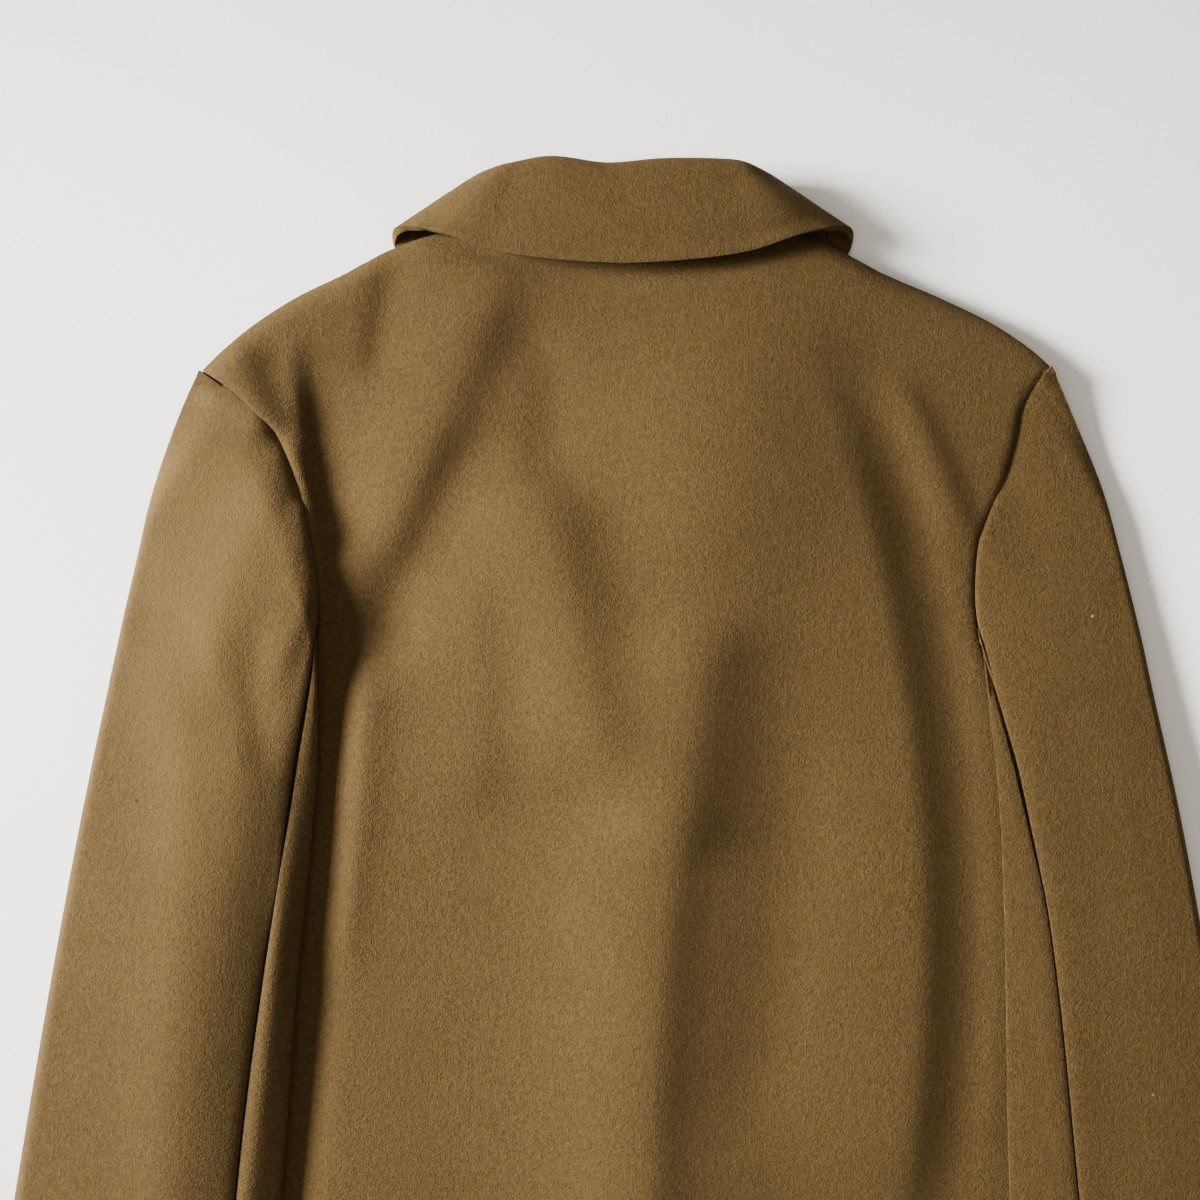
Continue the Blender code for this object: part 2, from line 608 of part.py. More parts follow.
def make_sleeve(side, word):
    """The sleeve's tube, cut in two at the seams; the first and last column is the front seam."""
    columns, back_seam = sleeve_columns(side)
    rows = [MOUTH_SHARE * j / SLEEVE_ROWS for j in range(SLEEVE_ROWS)]
    rows += [lerp(MOUTH_SHARE, 1.0, j / SLEEVE_ROWS) for j in range(SLEEVE_ROWS + 1)]
    tube = [[Vector(sleeve_point(side, turn, part, v)) for turn, part in columns] for v in rows]
    lining = offset_tube(tube, CLOTH, side)
    cuts = (("under_sleeve_" + word, 0, back_seam), ("top_sleeve_" + word, back_seam, len(columns)))
    for name, first, last in cuts:
        outer = [[row[i % len(columns)].copy() for i in range(first, last + 1)] for row in tube]
        inner = [[row[i % len(columns)].copy() for i in range(first, last + 1)] for row in lining]
        trim_sides(outer, OUTER_TRIM)
        trim_sides(inner, INNER_TRIM)
        make_wall(name, outer, inner, "melton", flip=side > 0)


def offset_tube(tube, distance, side):
    """The tube's inner face: each point moved in along the mean of its faces' normals."""
    rows = len(tube)
    count = len(tube[0])
    inner = []
    for j in range(rows):
        row = []
        for i in range(count):
            here = tube[j][i]
            normal = Vector((0.0, 0.0, 0.0))
            for dj, di in ((1, 0), (0, 1), (-1, 0), (0, -1)):
                nj, ni = j + dj, (i + di) % count
                mj, mi = j - di, (i + dj) % count
                if 0 <= nj < rows and 0 <= mj < rows:
                    normal += (tube[nj][ni] - here).cross(tube[mj][mi] - here).normalized()
            thin = lerp(MOUTH_THIN, 1.0, smooth_step(j / MOUTH_THIN_ROWS))
            moved = here - normal.normalized() * distance * thin * side
            moved.z = max(moved.z, LOWEST_INNER)
            row.append(moved)
        inner.append(row)
    return inner


def trim_sides(grid, more):
    """Draw both long edges of a grid in by half a seam's gap, and more by the armhole."""
    for j, row in enumerate(grid):
        by_armhole = smooth_step((TRIM_ROWS - j) / TRIM_FADE_ROWS)
        wanted = GAP / 2 + more * lerp(TRIM_FAR, 1.0, by_armhole)
        for edge, beside in ((0, 1), (-1, -2)):
            inward = row[beside] - row[edge]
            row[edge] += inward.normalized() * min(wanted, TRIM_MOST * inward.length)


# ---- collar ------------------------------------------------------------------------
# a row for each station from the centre back round to the front end, one side
Station = namedtuple("Station", "at roll_x roll_y leaf_x leaf_y neck_x neck_y leaf_z roll_z")
COLLAR = (
    Station(0.00, 0, 114, 0, 56, 0, 77, 28, 22),
    Station(0.18, 30, 114, 34, 58, 32, 78, 28, 22),
    Station(0.34, 52, 113.5, 68, 63, 58, 81, 27, 22),
    Station(0.47, 66, 112, 98, 73, 77, 82, 25, 20),
    Station(0.55, 77, 108, 121, 78, 84, 83, 15, 12),
    Station(0.61, 78, 103, 125, 71, 84, 79, 0.5, 0.5),
    Station(0.70, 66, 92, 114, 50, 78, 68, 0, 0),
    Station(0.86, 38, 66, 94, 12, 48, 38, 0, 0),
    Station(1.00, 12, 43, 66, -22, 12, 12, 0, 0),
)
ROLL_PART = 0.3         # share of the leaf's rows that turn round the roll
ROLL_DEPTH = 9.0        # how far the roll's top lies in from its edge
ROLL_START = -50.0      # angle at which the roll begins, under its edge
LEAF_FOLD_AT = 0.60     # from this station back the leaf rolls over the neck
LEAF_FOLD_FADE = 0.14
LEAF_BELLY = 2.5        # how far the leaf bows up between its roll and its edge
LEAF_RESTS_AT = 0.52    # from this station back its lower part lies on the coat,
LEAF_RESTS_FROM = 0.5   # from this share of the way down
LEAF_RESTS_FADE = 0.3
LEAF_REST_Y = 70.0      # the back's height is read no higher up than this,
LEAF_REST_IN = 60.0     # and this far in from the shoulder
COLLAR_COLUMNS = 24
COLLAR_ROWS = 9
STAND_COLUMNS = 22
STAND_ROWS = 4
STAND_FOLD_AT = 0.65    # from this station back the stand stands between leaf and neck
STAND_FOLD_FADE = 0.15
STAND_NECK_Z = 19.0     # height of its outer face there, at the neck seam
STAND_ROLL_Z = 14.2     # and under the roll
STAND_DRAW_X = 12.0     # how far its upper edge draws in from the roll at the side,
STAND_DRAW_Y = 6.0
STAND_BACK_IN = 4.0     # and everywhere
STAND_NECK_OUT = 0.8    # clearance of its lower edge at the neck seam
STAND_DRAW_RISE = 0.45  # stations over which the draw comes,
STAND_DRAW_END = 0.95   # by which it has gone,
STAND_DRAW_FALL = 0.25  # and over which it goes


def collar_value(field, at):
    return read_rows(COLLAR, field, at, key="at")


def collar_point(side, at, down):
    """Point of the leaf's outer face: down is 0 at the roll and 1 at its edge."""
    on_back = smooth_step((LEAF_FOLD_AT - at) / LEAF_FOLD_FADE)
    turned = min(1.0, down / ROLL_PART)
    angle = math.radians(lerp(ROLL_START * on_back, 90.0, turned))
    from_roll = ROLL_DEPTH * (1.0 - math.cos(angle)) * on_back
    roll_x, roll_y = collar_value("roll_x", at), collar_value("roll_y", at)
    leaf_x, leaf_y = collar_value("leaf_x", at), collar_value("leaf_y", at)
    length = math.hypot(leaf_x - roll_x, leaf_y - roll_y)
    beyond = max(0.0, (down - ROLL_PART) / (1.0 - ROLL_PART))
    flat = lerp(from_roll, length, beyond) / length if on_back > 0 else down
    flat = lerp(down, flat, on_back)
    x = lerp(roll_x, leaf_x, flat)
    y = lerp(roll_y, leaf_y, flat)
    mid_z = collar_value("roll_z", at)
    top_z = collar_value("leaf_z", at)
    z = mid_z + (top_z - mid_z) * math.sin(angle)
    z += LEAF_BELLY * math.sin(math.pi * beyond) * on_back
    if at < LEAF_RESTS_AT:
        rest = back_point(side, x, min(y, LEAF_REST_Y), LEAF_REST_IN)[2] + COLLAR_CLOTH + REST_GAP
        z = max(z, lerp(z, rest, smooth_step((down - LEAF_RESTS_FROM) / LEAF_RESTS_FADE)))
    return (side * x, y, max(z, 0.0))


def make_collar():
    grid = []
    for j in range(COLLAR_ROWS + 1):
        row = []
        for i in range(-COLLAR_COLUMNS, COLLAR_COLUMNS + 1):
            side = -1 if i < 0 else 1
            row.append(collar_point(side, abs(i) / COLLAR_COLUMNS, j / COLLAR_ROWS))
        grid.append(row)
    return make_cloth("collar", grid, COLLAR_CLOTH, "melton", flip=True)


def stand_point(side, at, up):
    """Point of the stand's outer face, from the neck seam up to the roll."""
    draw_in = smooth_step(at / STAND_DRAW_RISE)
    draw_in *= smooth_step((STAND_DRAW_END - at) / STAND_DRAW_FALL)
    top_x = collar_value("roll_x", at) - STAND_DRAW_X * draw_in
    top_y = collar_value("roll_y", at) - STAND_BACK_IN - STAND_DRAW_Y * draw_in
    x = lerp(collar_value("neck_x", at), top_x, up)
    y = lerp(collar_value("neck_y", at) + GAP, top_y, up)
    on_back = smooth_step((STAND_FOLD_AT - at) / STAND_FOLD_FADE)
    back_z = lerp(STAND_NECK_Z, STAND_ROLL_Z, up)
    return (side * x, y + STAND_NECK_OUT, lerp(LEAF_STEP, back_z, on_back))


def make_stand():
    grid = []
    for j in range(STAND_ROWS + 1):
        row = []
        for i in range(-STAND_COLUMNS, STAND_COLUMNS + 1):
            side = -1 if i < 0 else 1
            row.append(stand_point(side, abs(i) / STAND_COLUMNS, j / STAND_ROWS))
        grid.append(row)
    return make_cloth("collar_stand", grid, STAND_CLOTH, "melton_under")


# ---- meshes ----------------------------------------------------------------------
def placed(x, y, z):
    """A place in the tables' millimetres as metres from the origin."""
    return ((x + CENTRE_SHIFT_X) * MM, (y + CENTRE_SHIFT_Y) * MM, z * MM)


def material(slot):
    found = bpy.data.materials.get(slot)
    if found:
        return found
    made = bpy.data.materials.new(slot)
    made.use_nodes = True
    surface = made.node_tree.nodes["Principled BSDF"]
    surface.inputs["Base Color"].default_value = COLOURS[slot]
    surface.inputs["Roughness"].default_value = ROUGHNESS[slot]
    surface.inputs["Metallic"].default_value = 0.0
    made.diffuse_color = COLOURS[slot]
    return made


def object_from(mesh, name, slot):
    data = bpy.data.meshes.new(name)
    mesh.to_mesh(data)
    mesh.free()
    data.materials.append(material(slot))
    made = bpy.data.objects.new(name, data)
    bpy.context.scene.collection.objects.link(made)
    return made


def make_cloth(name, grid, thickness, slot, flip=False):
    """A wall whose outer face is the grid; Solidify grows it inwards."""
    mesh = bmesh.new()
    verts = [[mesh.verts.new(placed(x, y, z)) for x, y, z in row] for row in grid]
    for low, high in zip(verts, verts[1:]):
        for i in range(len(low) - 1):
            face = [low[i], low[i + 1], high[i + 1], high[i]]
            mesh.faces.new(list(reversed(face)) if flip else face)
    made = object_from(mesh, name, slot)
    for polygon in made.data.polygons:
        polygon.use_smooth = True
    wall = made.modifiers.new("wall", "SOLIDIFY")
    wall.thickness = thickness * MM
    wall.offset = -1.0
    return made


def make_wall(name, outer, inner, slot, flip=False):
    """A closed wall between two grids of the same size."""
    mesh = bmesh.new()
    faces = []
    for grid in (outer, inner):
        faces.append([[mesh.verts.new(placed(x, y, z)) for x, y, z in row] for row in grid])
    top, low = faces
    rows, columns = len(top), len(top[0])

    def add(*corners):
        mesh.faces.new(list(reversed(corners)) if flip else corners)

    for j in range(rows - 1):
        for i in range(columns - 1):
            add(top[j][i], top[j][i + 1], top[j + 1][i + 1], top[j + 1][i])
            add(low[j][i], low[j + 1][i], low[j + 1][i + 1], low[j][i + 1])
        add(top[j][0], top[j + 1][0], low[j + 1][0], low[j][0])
        add(top[j][-1], low[j][-1], low[j + 1][-1], top[j + 1][-1])
    for i in range(columns - 1):
        add(top[0][i], low[0][i], low[0][i + 1], top[0][i + 1])
        add(top[-1][i], top[-1][i + 1], low[-1][i + 1], low[-1][i])
    made = object_from(mesh, name, slot)
    for polygon in made.data.polygons:
        polygon.use_smooth = True
    return made


def main():
    for old in list(bpy.data.objects):
        bpy.data.objects.remove(old)
    make_front(-1, "front_left")
    make_front(1, "front_right")
    make_placket()
    make_buttons()
    make_back()
    make_sleeve(-1, "left")
    make_sleeve(1, "right")
    make_stand()
    make_collar()


main()
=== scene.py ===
# %% [markdown]
# # A wool coat, laid flat on its front
#
# The coat lies face down on a white table, so we look at its back. Everything we see is cloth: a thick,
# brushed wool that makers call melton. The frame that we load holds one plain solid for each cut piece.
# In this lesson each of them is replaced by a finer sheet with soft folds and a proper cloth finish.

# %% Load the frame
import math
from collections import namedtuple
from functools import lru_cache

import bpy
import numpy as np
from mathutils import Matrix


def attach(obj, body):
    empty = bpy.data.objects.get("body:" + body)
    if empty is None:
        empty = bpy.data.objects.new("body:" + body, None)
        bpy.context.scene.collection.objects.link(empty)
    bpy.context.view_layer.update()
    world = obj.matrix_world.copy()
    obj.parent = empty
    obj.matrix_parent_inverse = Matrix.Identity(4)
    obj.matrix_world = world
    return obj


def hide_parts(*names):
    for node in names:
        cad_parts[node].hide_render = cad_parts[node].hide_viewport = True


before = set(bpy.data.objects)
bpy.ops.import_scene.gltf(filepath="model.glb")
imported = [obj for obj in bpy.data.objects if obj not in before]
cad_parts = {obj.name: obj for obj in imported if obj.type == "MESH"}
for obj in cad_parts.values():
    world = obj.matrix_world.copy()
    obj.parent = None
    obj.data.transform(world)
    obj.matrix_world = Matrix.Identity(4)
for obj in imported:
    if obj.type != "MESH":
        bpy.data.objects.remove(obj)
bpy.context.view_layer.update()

print("nodes in the frame:", ", ".join(sorted(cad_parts)))

# %% [markdown]
# ## The camera
#
# The picture was taken from straight above. A long lens from higher up keeps the outline nearly the same
# at every height, and a short one from close by makes the high parts larger. We choose a middle way. The
# lens follows from the distance, so that the picture stays 648 mm wide at the height of the cloth.

# %% Look straight down
PICTURE_WIDE = 0.648
PICTURE_MIDDLE = (-0.0174, 0.2699)
LENS_HIGH = 1.25
CLOTH_HIGH = 0.010
SENSOR_WIDE = 36.0
middle_x, middle_y = PICTURE_MIDDLE
bpy.ops.object.camera_add(location=(middle_x, middle_y, CLOTH_HIGH + LENS_HIGH))
camera = bpy.context.object
camera.data.type = "PERSP"
camera.data.sensor_width = SENSOR_WIDE
camera.data.lens = SENSOR_WIDE * LENS_HIGH / PICTURE_WIDE
bpy.context.scene.camera = camera
print("lens, mm:", round(camera.data.lens, 1))

# %% [markdown]
# ## Sums that add shader nodes
#
# A material is a web of small nodes. Wrapping a socket in a class lets us write `a * 0.5 + b`, and each
# sign adds the Math node that does it. One method, `add`, makes any other node from its kind, its
# settings and the values of its sockets.

# %% A socket that can be used in sums
class Flow:
    """One socket of a material. A sum on it adds a Math node."""

    def __init__(self, tree, socket=None):
        self.tree = tree
        self.socket = socket

    def add(self, kind, settings=None, values=None, output=0):
        """Any node: its settings first, then the value or link of each socket."""
        node = self.tree.nodes.new(kind)
        for name, value in (settings or {}).items():
            setattr(node, name, value)
        for name, value in (values or {}).items():
            if isinstance(value, Flow):
                self.tree.links.new(value.socket, node.inputs[name])
            else:
                node.inputs[name].default_value = value
        return Flow(self.tree, node.outputs[output])

    def sums(self, operation, first, second):
        return self.add("ShaderNodeMath", {"operation": operation}, {0: first, 1: second})

    def __add__(self, other):
        return self.sums("ADD", self, other)

    def __radd__(self, other):
        return self.sums("ADD", other, self)

    def __sub__(self, other):
        return self.sums("SUBTRACT", self, other)

    def __rsub__(self, other):
        return self.sums("SUBTRACT", other, self)

    def __mul__(self, other):
        return self.sums("MULTIPLY", self, other)

    def __rmul__(self, other):
        return self.sums("MULTIPLY", other, self)

    def between(self, low, high):
        """0 below low and 1 above high, with soft ends."""
        settings = {"interpolation_type": "SMOOTHSTEP"}
        return self.add("ShaderNodeMapRange", settings, {"Value": self, "From Min": low, "From Max": high})

    def tinted(self, colour_at_0, colour_at_1):
        """A colour between two, with this value as the share of the second."""
        settings = {"data_type": "RGBA"}
        return self.add("ShaderNodeMix", settings, {0: self, 6: colour_at_0, 7: colour_at_1}, output=2)


def new_material(name):
    """An empty material: its tree as a Flow, and its main shader."""
    made = bpy.data.materials.new(name)
    made.use_nodes = True
    shader = made.node_tree.nodes["Principled BSDF"]
    return made, Flow(made.node_tree), shader


def clouds(web, place, size_mm, detail=2.0, rough=0.5):
    """Soft noise whose spots are about size_mm across."""
    values = {"Vector": place, "Scale": 1000.0 / size_mm, "Detail": detail, "Roughness": rough}
    return web.add("ShaderNodeTexNoise", None, values)


# %% [markdown]
# ## The cloth's finish
#
# Melton is woven, then shrunk and brushed until no thread shows. What is left is a short, dense nap with
# three things to copy. Its colour is mottled, because fibres of several dyes are mixed before spinning.
# Its surface is very rough, so we use small bumps and no gloss. And its hair ends catch light that comes
# from the side, which is the sheen. The patterns read Object coordinates, so they sit still in the cloth.
# The same material carries a few marks. Three broad places on the left upper arm are painted paler, as
# painted light where the window's light falls on that sleeve. There is also a small dark hole on that
# sleeve, a faint painted highlight at the left shoulder point, and two bits of lint.

# %% Marks on the cloth, with painted light on the left sleeve
Mark = namedtuple("Mark", "x y wide strength colour")
MM = 0.001
CENTRE_SHIFT_X = -5.0
CENTRE_SHIFT_Y = 393.0
# painted light: the colour that makes the left upper arm paler where the window's light falls on it
PAINTED_SLEEVE_LIGHT = (0.100, 0.065, 0.022, 1.0)
HOLE_DARK = (0.022, 0.012, 0.006, 1.0)
# painted highlight: the colour of a faint gleam at the left shoulder point
PAINTED_SHOULDER_GLEAM = (0.40, 0.30, 0.17, 1.0)
LINT = (0.40, 0.33, 0.22, 1.0)
MARKS = (
    # painted light: three broad pale places on the left upper arm, where the window's light falls
    Mark(-226.0, -90.0, 74.0, 0.26, PAINTED_SLEEVE_LIGHT),
    Mark(-226.0, -172.0, 70.0, 0.22, PAINTED_SLEEVE_LIGHT),
    Mark(-226.0, -240.0, 56.0, 0.14, PAINTED_SLEEVE_LIGHT),
    Mark(-260.3, -230.6, 1.5, 0.95, HOLE_DARK),
    # a faint painted highlight at the left shoulder point
    Mark(-226.8, -13.5, 9.0, 0.03, PAINTED_SHOULDER_GLEAM),
    Mark(285.1, -389.3, 1.1, 0.28, LINT),
    Mark(253.3, -131.8, 1.0, 0.40, LINT),
)
MARK_CORE = 0.1


def marked(web, place, colour):
    """The cloth's colour with each mark laid over it, as a soft round spot seen from above."""
    split = web.add("ShaderNodeSeparateXYZ", None, {"Vector": place})
    across = Flow(web.tree, split.socket.node.outputs["X"])
    along = Flow(web.tree, split.socket.node.outputs["Y"])
    for mark in MARKS:
        from_x = across - (mark.x + CENTRE_SHIFT_X) * MM
        from_y = along - (mark.y + CENTRE_SHIFT_Y) * MM
        far = from_x * from_x + from_y * from_y
        edge = (mark.wide * MM) ** 2
        inside = 1.0 - far.between(MARK_CORE * edge, edge)
        colour = (inside * inside * mark.strength).tinted(colour, mark.colour)
    return colour


# %% Melton
GRAIN_MM = 0.9
MOTTLE_MM = 2.6
BROAD_MM = 38.0
NAP_HIGH = 0.0013
SHEEN_TINT = (1.0, 0.84, 0.60, 1.0)


def make_melton(name, deep, pale, with_marks):
    """Brushed wool: mottled colour, short nap, soft sheen."""
    made, web, shader = new_material(name)
    place = web.add("ShaderNodeTexCoord", output=3)
    grain = clouds(web, place, GRAIN_MM, detail=2.0, rough=0.6)
    mottle = clouds(web, place, MOTTLE_MM, detail=3.0, rough=0.6)
    broad = clouds(web, place, BROAD_MM, detail=2.0)
    mixed = (grain * 0.50 + mottle * 0.42 + broad * 0.08).between(0.33, 0.67)
    colour = mixed.tinted(deep, pale)
    if with_marks:
        colour = marked(web, place, colour)
    web.tree.links.new(colour.socket, shader.inputs["Base Color"])
    nap = grain * 0.6 + mottle * 0.4
    values = {"Height": nap, "Strength": 0.75, "Distance": NAP_HIGH}
    bump = web.add("ShaderNodeBump", None, values)
    web.tree.links.new(bump.socket, shader.inputs["Normal"])
    rough = mottle * 0.12 + 0.82
    web.tree.links.new(rough.socket, shader.inputs["Roughness"])
    shader.inputs["Specular IOR Level"].default_value = 0.12
    shader.inputs["Sheen Weight"].default_value = 0.02
    shader.inputs["Sheen Roughness"].default_value = 0.45
    shader.inputs["Sheen Tint"].default_value = SHEEN_TINT
    return made


DEEP_WOOL = (0.035, 0.0190, 0.0045, 1.0)
PALE_WOOL = (0.064, 0.0402, 0.0124, 1.0)
DEEP_UNDER = (0.033, 0.018, 0.0040, 1.0)
PALE_UNDER = (0.060, 0.0370, 0.0108, 1.0)
MELTON = make_melton("melton_cloth", DEEP_WOOL, PALE_WOOL, True)
MELTON_UNDER = make_melton("melton_under_cloth", DEEP_UNDER, PALE_UNDER, False)
print("melton nodes:", len(MELTON.node_tree.nodes))


# %% [markdown]
# ## The buttons' finish
#
# The buttons are hidden behind the fly. Coats like this one have buttons of pressed horn or a plastic
# that copies it: dark brown, with paler streaks, and a dull polish. The solids already have the right
# shape, so they stay and only get this material.

# %% Horn-like plastic
STREAK_MM = 2.2
DEEP_HORN = (0.030, 0.016, 0.008, 1.0)
PALE_HORN = (0.120, 0.068, 0.032, 1.0)


def make_horn():
    made, web, shader = new_material("button_horn")
    place = web.add("ShaderNodeTexCoord", output=3)
    turned = web.add("ShaderNodeMapping", None, {"Vector": place, "Scale": (1.0, 0.25, 1.0)})
    streak = clouds(web, turned, STREAK_MM, detail=4.0, rough=0.65)
    colour = streak.between(0.35, 0.68).tinted(DEEP_HORN, PALE_HORN)
    web.tree.links.new(colour.socket, shader.inputs["Base Color"])
    rough = streak * 0.2 + 0.25
    web.tree.links.new(rough.socket, shader.inputs["Roughness"])
    return made


HORN = make_horn()
for name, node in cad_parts.items():
    if name.startswith("button"):
        for spot in node.material_slots:
            spot.material = HORN
print("buttons finished:", sum(name.startswith("button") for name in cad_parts))

# %% [markdown]
# ## Small maths for soft shapes
#
# Cloth has no corners, so every measure that changes does so along a soft curve. `smooth_step` starts
# and ends gently. `read_curve` runs a smooth line through the few sizes that a table gives, in the same
# way as a bent ruler goes through pins. All sizes in the tables are millimetres, measured from the
# centre of the coat at the level of the shoulder points.

# %% Curves through tables
def smooth_step(value):
    """0 below 0, 1 above 1, with a soft start and end."""
    value = min(1.0, max(0.0, value))
    return value * value * (3.0 - 2.0 * value)


def lerp(first, second, part):
    return first + (second - first) * part


def read_curve(xs, ys, x):
    """Smooth curve through the points (xs rising), by Hermite pieces."""
    if x <= xs[0]:
        return ys[0] + (ys[1] - ys[0]) / (xs[1] - xs[0]) * (x - xs[0])
    if x >= xs[-1]:
        return ys[-1] + (ys[-1] - ys[-2]) / (xs[-1] - xs[-2]) * (x - xs[-1])
    last = len(xs) - 1
    i = max(k for k in range(last) if xs[k] <= x)

    def slope(k):
        before = max(0, k - 1)
        after = min(last, k + 1)
        return (ys[after] - ys[before]) / (xs[after] - xs[before])

    step = xs[i + 1] - xs[i]
    t = (x - xs[i]) / step
    return ((2 * t ** 3 - 3 * t ** 2 + 1) * ys[i] + (t ** 3 - 2 * t ** 2 + t) * step * slope(i)
            + (3 * t ** 2 - 2 * t ** 3) * ys[i + 1] + (t ** 3 - t ** 2) * step * slope(i + 1))


@lru_cache(maxsize=None)
def columns_of(rows, key, field):
    ordered = sorted(rows, key=lambda row: getattr(row, key))
    return [getattr(row, key) for row in ordered], [getattr(row, field) for row in ordered]


@lru_cache(maxsize=200000)
def read_rows(rows, field, y, key="y"):
    """Value of one named column of a table at height y."""
    xs, ys = columns_of(rows, key, field)
    return read_curve(xs, ys, y)


def round_over(distance, reach):
    """0 at an edge and 1 at reach from it, round like a folded cloth."""
    part = min(1.0, max(0.0, distance / reach))
    return math.sqrt(1.0 - (1.0 - part) ** 2)


# %% [markdown]
# ## From a flat grid to a laid sheet
#
# Each cut piece starts as a flat grid, as cloth starts flat on the cutting table. Its corners are then
# moved to where the cloth lies, worked out by a formula, because folds given one by one follow a
# photograph better than a simulated drape. Solidify gives the sheet its wall, Bevel rounds the turned
# edge, and both are applied. What would sink into the table is set on it. `press_edges` draws the cloth
# down beside a seam, as an iron does, so that two pieces meet in a fine groove.

# %% Make a sheet from its points
TURNED_EDGE_ANGLE = 60
SMOOTH_ANGLE = 62
PRESS_REACH = 2.6


def placed(point):
    """A place in the tables' millimetres as metres in the frame."""
    x, y, z = point
    return ((x + CENTRE_SHIFT_X) * MM, (y + CENTRE_SHIFT_Y) * MM, z * MM)


def face_normals(points):
    """Unit normal at each point of a grid, for rows going up and columns going right."""
    along_row = np.gradient(points, axis=1)
    along_column = np.gradient(points, axis=0)
    normal = np.cross(along_row, along_column)
    length = np.linalg.norm(normal, axis=2, keepdims=True)
    return normal / np.maximum(length, 1e-9)


def press_edges(points, edges, depth, reach, sign=1.0):
    """Push the cloth in beside the named edges of the grid by depth, fading over reach."""
    points = np.array(points, float)
    normal = face_normals(points) * sign
    nearest = np.full(points.shape[:2], 1e6)
    for edge in edges:
        axis = 1 if edge in ("left", "right") else 0
        steps = np.linalg.norm(np.diff(points, axis=axis), axis=2)
        if edge in ("right", "top"):
            steps = np.flip(steps, axis=axis)
        gone = np.cumsum(steps, axis=axis)
        start = np.zeros_like(np.take(gone, [0], axis=axis))
        gone = np.concatenate([start, gone], axis=axis)
        if edge in ("right", "top"):
            gone = np.flip(gone, axis=axis)
        nearest = np.minimum(nearest, gone)
    dip = depth * np.exp(-(nearest / reach) ** 2)
    return points - normal * dip[:, :, None]


def lay_cloth(name, points, wall, finish, flip=False, fullness=None, edge_round=0.0, edge_steps=2):
    """A wall of cloth whose outer face runs through the points."""
    rows, columns = len(points), len(points[0])
    bpy.ops.object.select_all(action="DESELECT")
    bpy.ops.mesh.primitive_grid_add(x_subdivisions=columns - 1, y_subdivisions=rows - 1, size=2.0)
    piece = bpy.context.object
    piece.name = name
    piece.data.name = name
    weights = piece.vertex_groups.new(name="fullness") if fullness else None
    for corner in piece.data.vertices:
        column = round((corner.co.x + 1.0) / 2.0 * (columns - 1))
        row = round((corner.co.y + 1.0) / 2.0 * (rows - 1))
        corner.co = placed(points[row][column])
        if weights:
            weights.add([corner.index], fullness[row], "REPLACE")
    if flip:
        bpy.ops.object.mode_set(mode="EDIT")
        bpy.ops.mesh.select_all(action="SELECT")
        bpy.ops.mesh.flip_normals()
        bpy.ops.object.mode_set(mode="OBJECT")
    bpy.ops.object.modifier_add(type="SOLIDIFY")
    thicken = piece.modifiers[-1]
    thicken.thickness = wall * MM
    thicken.offset = -1.0
    if weights:
        thicken.vertex_group = "fullness"
    bpy.ops.object.modifier_apply(modifier=thicken.name)
    if edge_round:
        bpy.ops.object.modifier_add(type="BEVEL")
        turned = piece.modifiers[-1]
        turned.limit_method = "ANGLE"
        turned.angle_limit = math.radians(TURNED_EDGE_ANGLE)
        turned.width = edge_round * MM
        turned.segments = edge_steps
        bpy.ops.object.modifier_apply(modifier=turned.name)
    for corner in piece.data.vertices:
        corner.co.z = max(corner.co.z, 0.0)
    bpy.ops.object.shade_smooth_by_angle(angle=math.radians(SMOOTH_ANGLE))
    piece.data.materials.append(finish)
    print(name, "triangles:", sum(len(face.vertices) - 2 for face in piece.data.polygons))
    return piece


def stands_for(piece, node):
    """Tie a sheet to the frame: its body and the solid it replaces."""
    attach(piece, "root")
    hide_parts(node)


# %% [markdown]
# ## Outlines of the coat's body
#
# The back and the two fronts share their side seams, armholes and shoulders. The left and right
# armholes differ, because the sleeves of a coat that is laid down by hand never fall alike.

# %% Tables of the outline
CLOTH = 2.0  # one ply of melton
GAP = 0.35  # clearance at a seam
REST_GAP = 0.9  # a sleeve over the back
BACK_DRAW_IN = 0.3  # armhole edge inside the seam line
FRONT_DRAW_IN = 1.2
HEM_Y = -900.0
UNDERARM_Y = -248.0
NECK_Y = 77.0
NECK_HALF = 90.0
NECK_POINT_Y = 80.0

Edge = namedtuple("Edge", "y out")
SIDE_SEAM = (Edge(-900, 300), Edge(-700, 291), Edge(-500, 283), Edge(-350, 275),
             Edge(-248, 266))
ARMHOLE = {
    -1: (Edge(-248, 266), Edge(-235, 244), Edge(-215, 216), Edge(-190, 190),
         Edge(-160, 171), Edge(-130, 163), Edge(-95, 167), Edge(-60, 176),
         Edge(-36, 186), Edge(-24, 196), Edge(-10, 212), Edge(1, 228)),
    1: (Edge(-248, 266), Edge(-235, 250), Edge(-215, 230), Edge(-190, 212),
        Edge(-160, 198), Edge(-130, 191), Edge(-95, 192), Edge(-80, 197),
        Edge(-58, 206), Edge(-36, 212), Edge(-18, 216), Edge(3, 231)),
}
SHOULDER = {
    -1: (Edge(1, 228), Edge(12, 217), Edge(25, 201), Edge(39, 179), Edge(52, 153),
         Edge(66, 127), Edge(80, 90)),
    1: (Edge(3, 231), Edge(12, 221), Edge(25, 202), Edge(39, 173), Edge(52, 144),
        Edge(66, 118), Edge(80, 90)),
}


def body_edge(side, y):
    """Distance of the body's cut edge from the centre line."""
    if y < UNDERARM_Y:
        return read_rows(SIDE_SEAM, "out", y)
    return read_rows(ARMHOLE[side], "out", y)


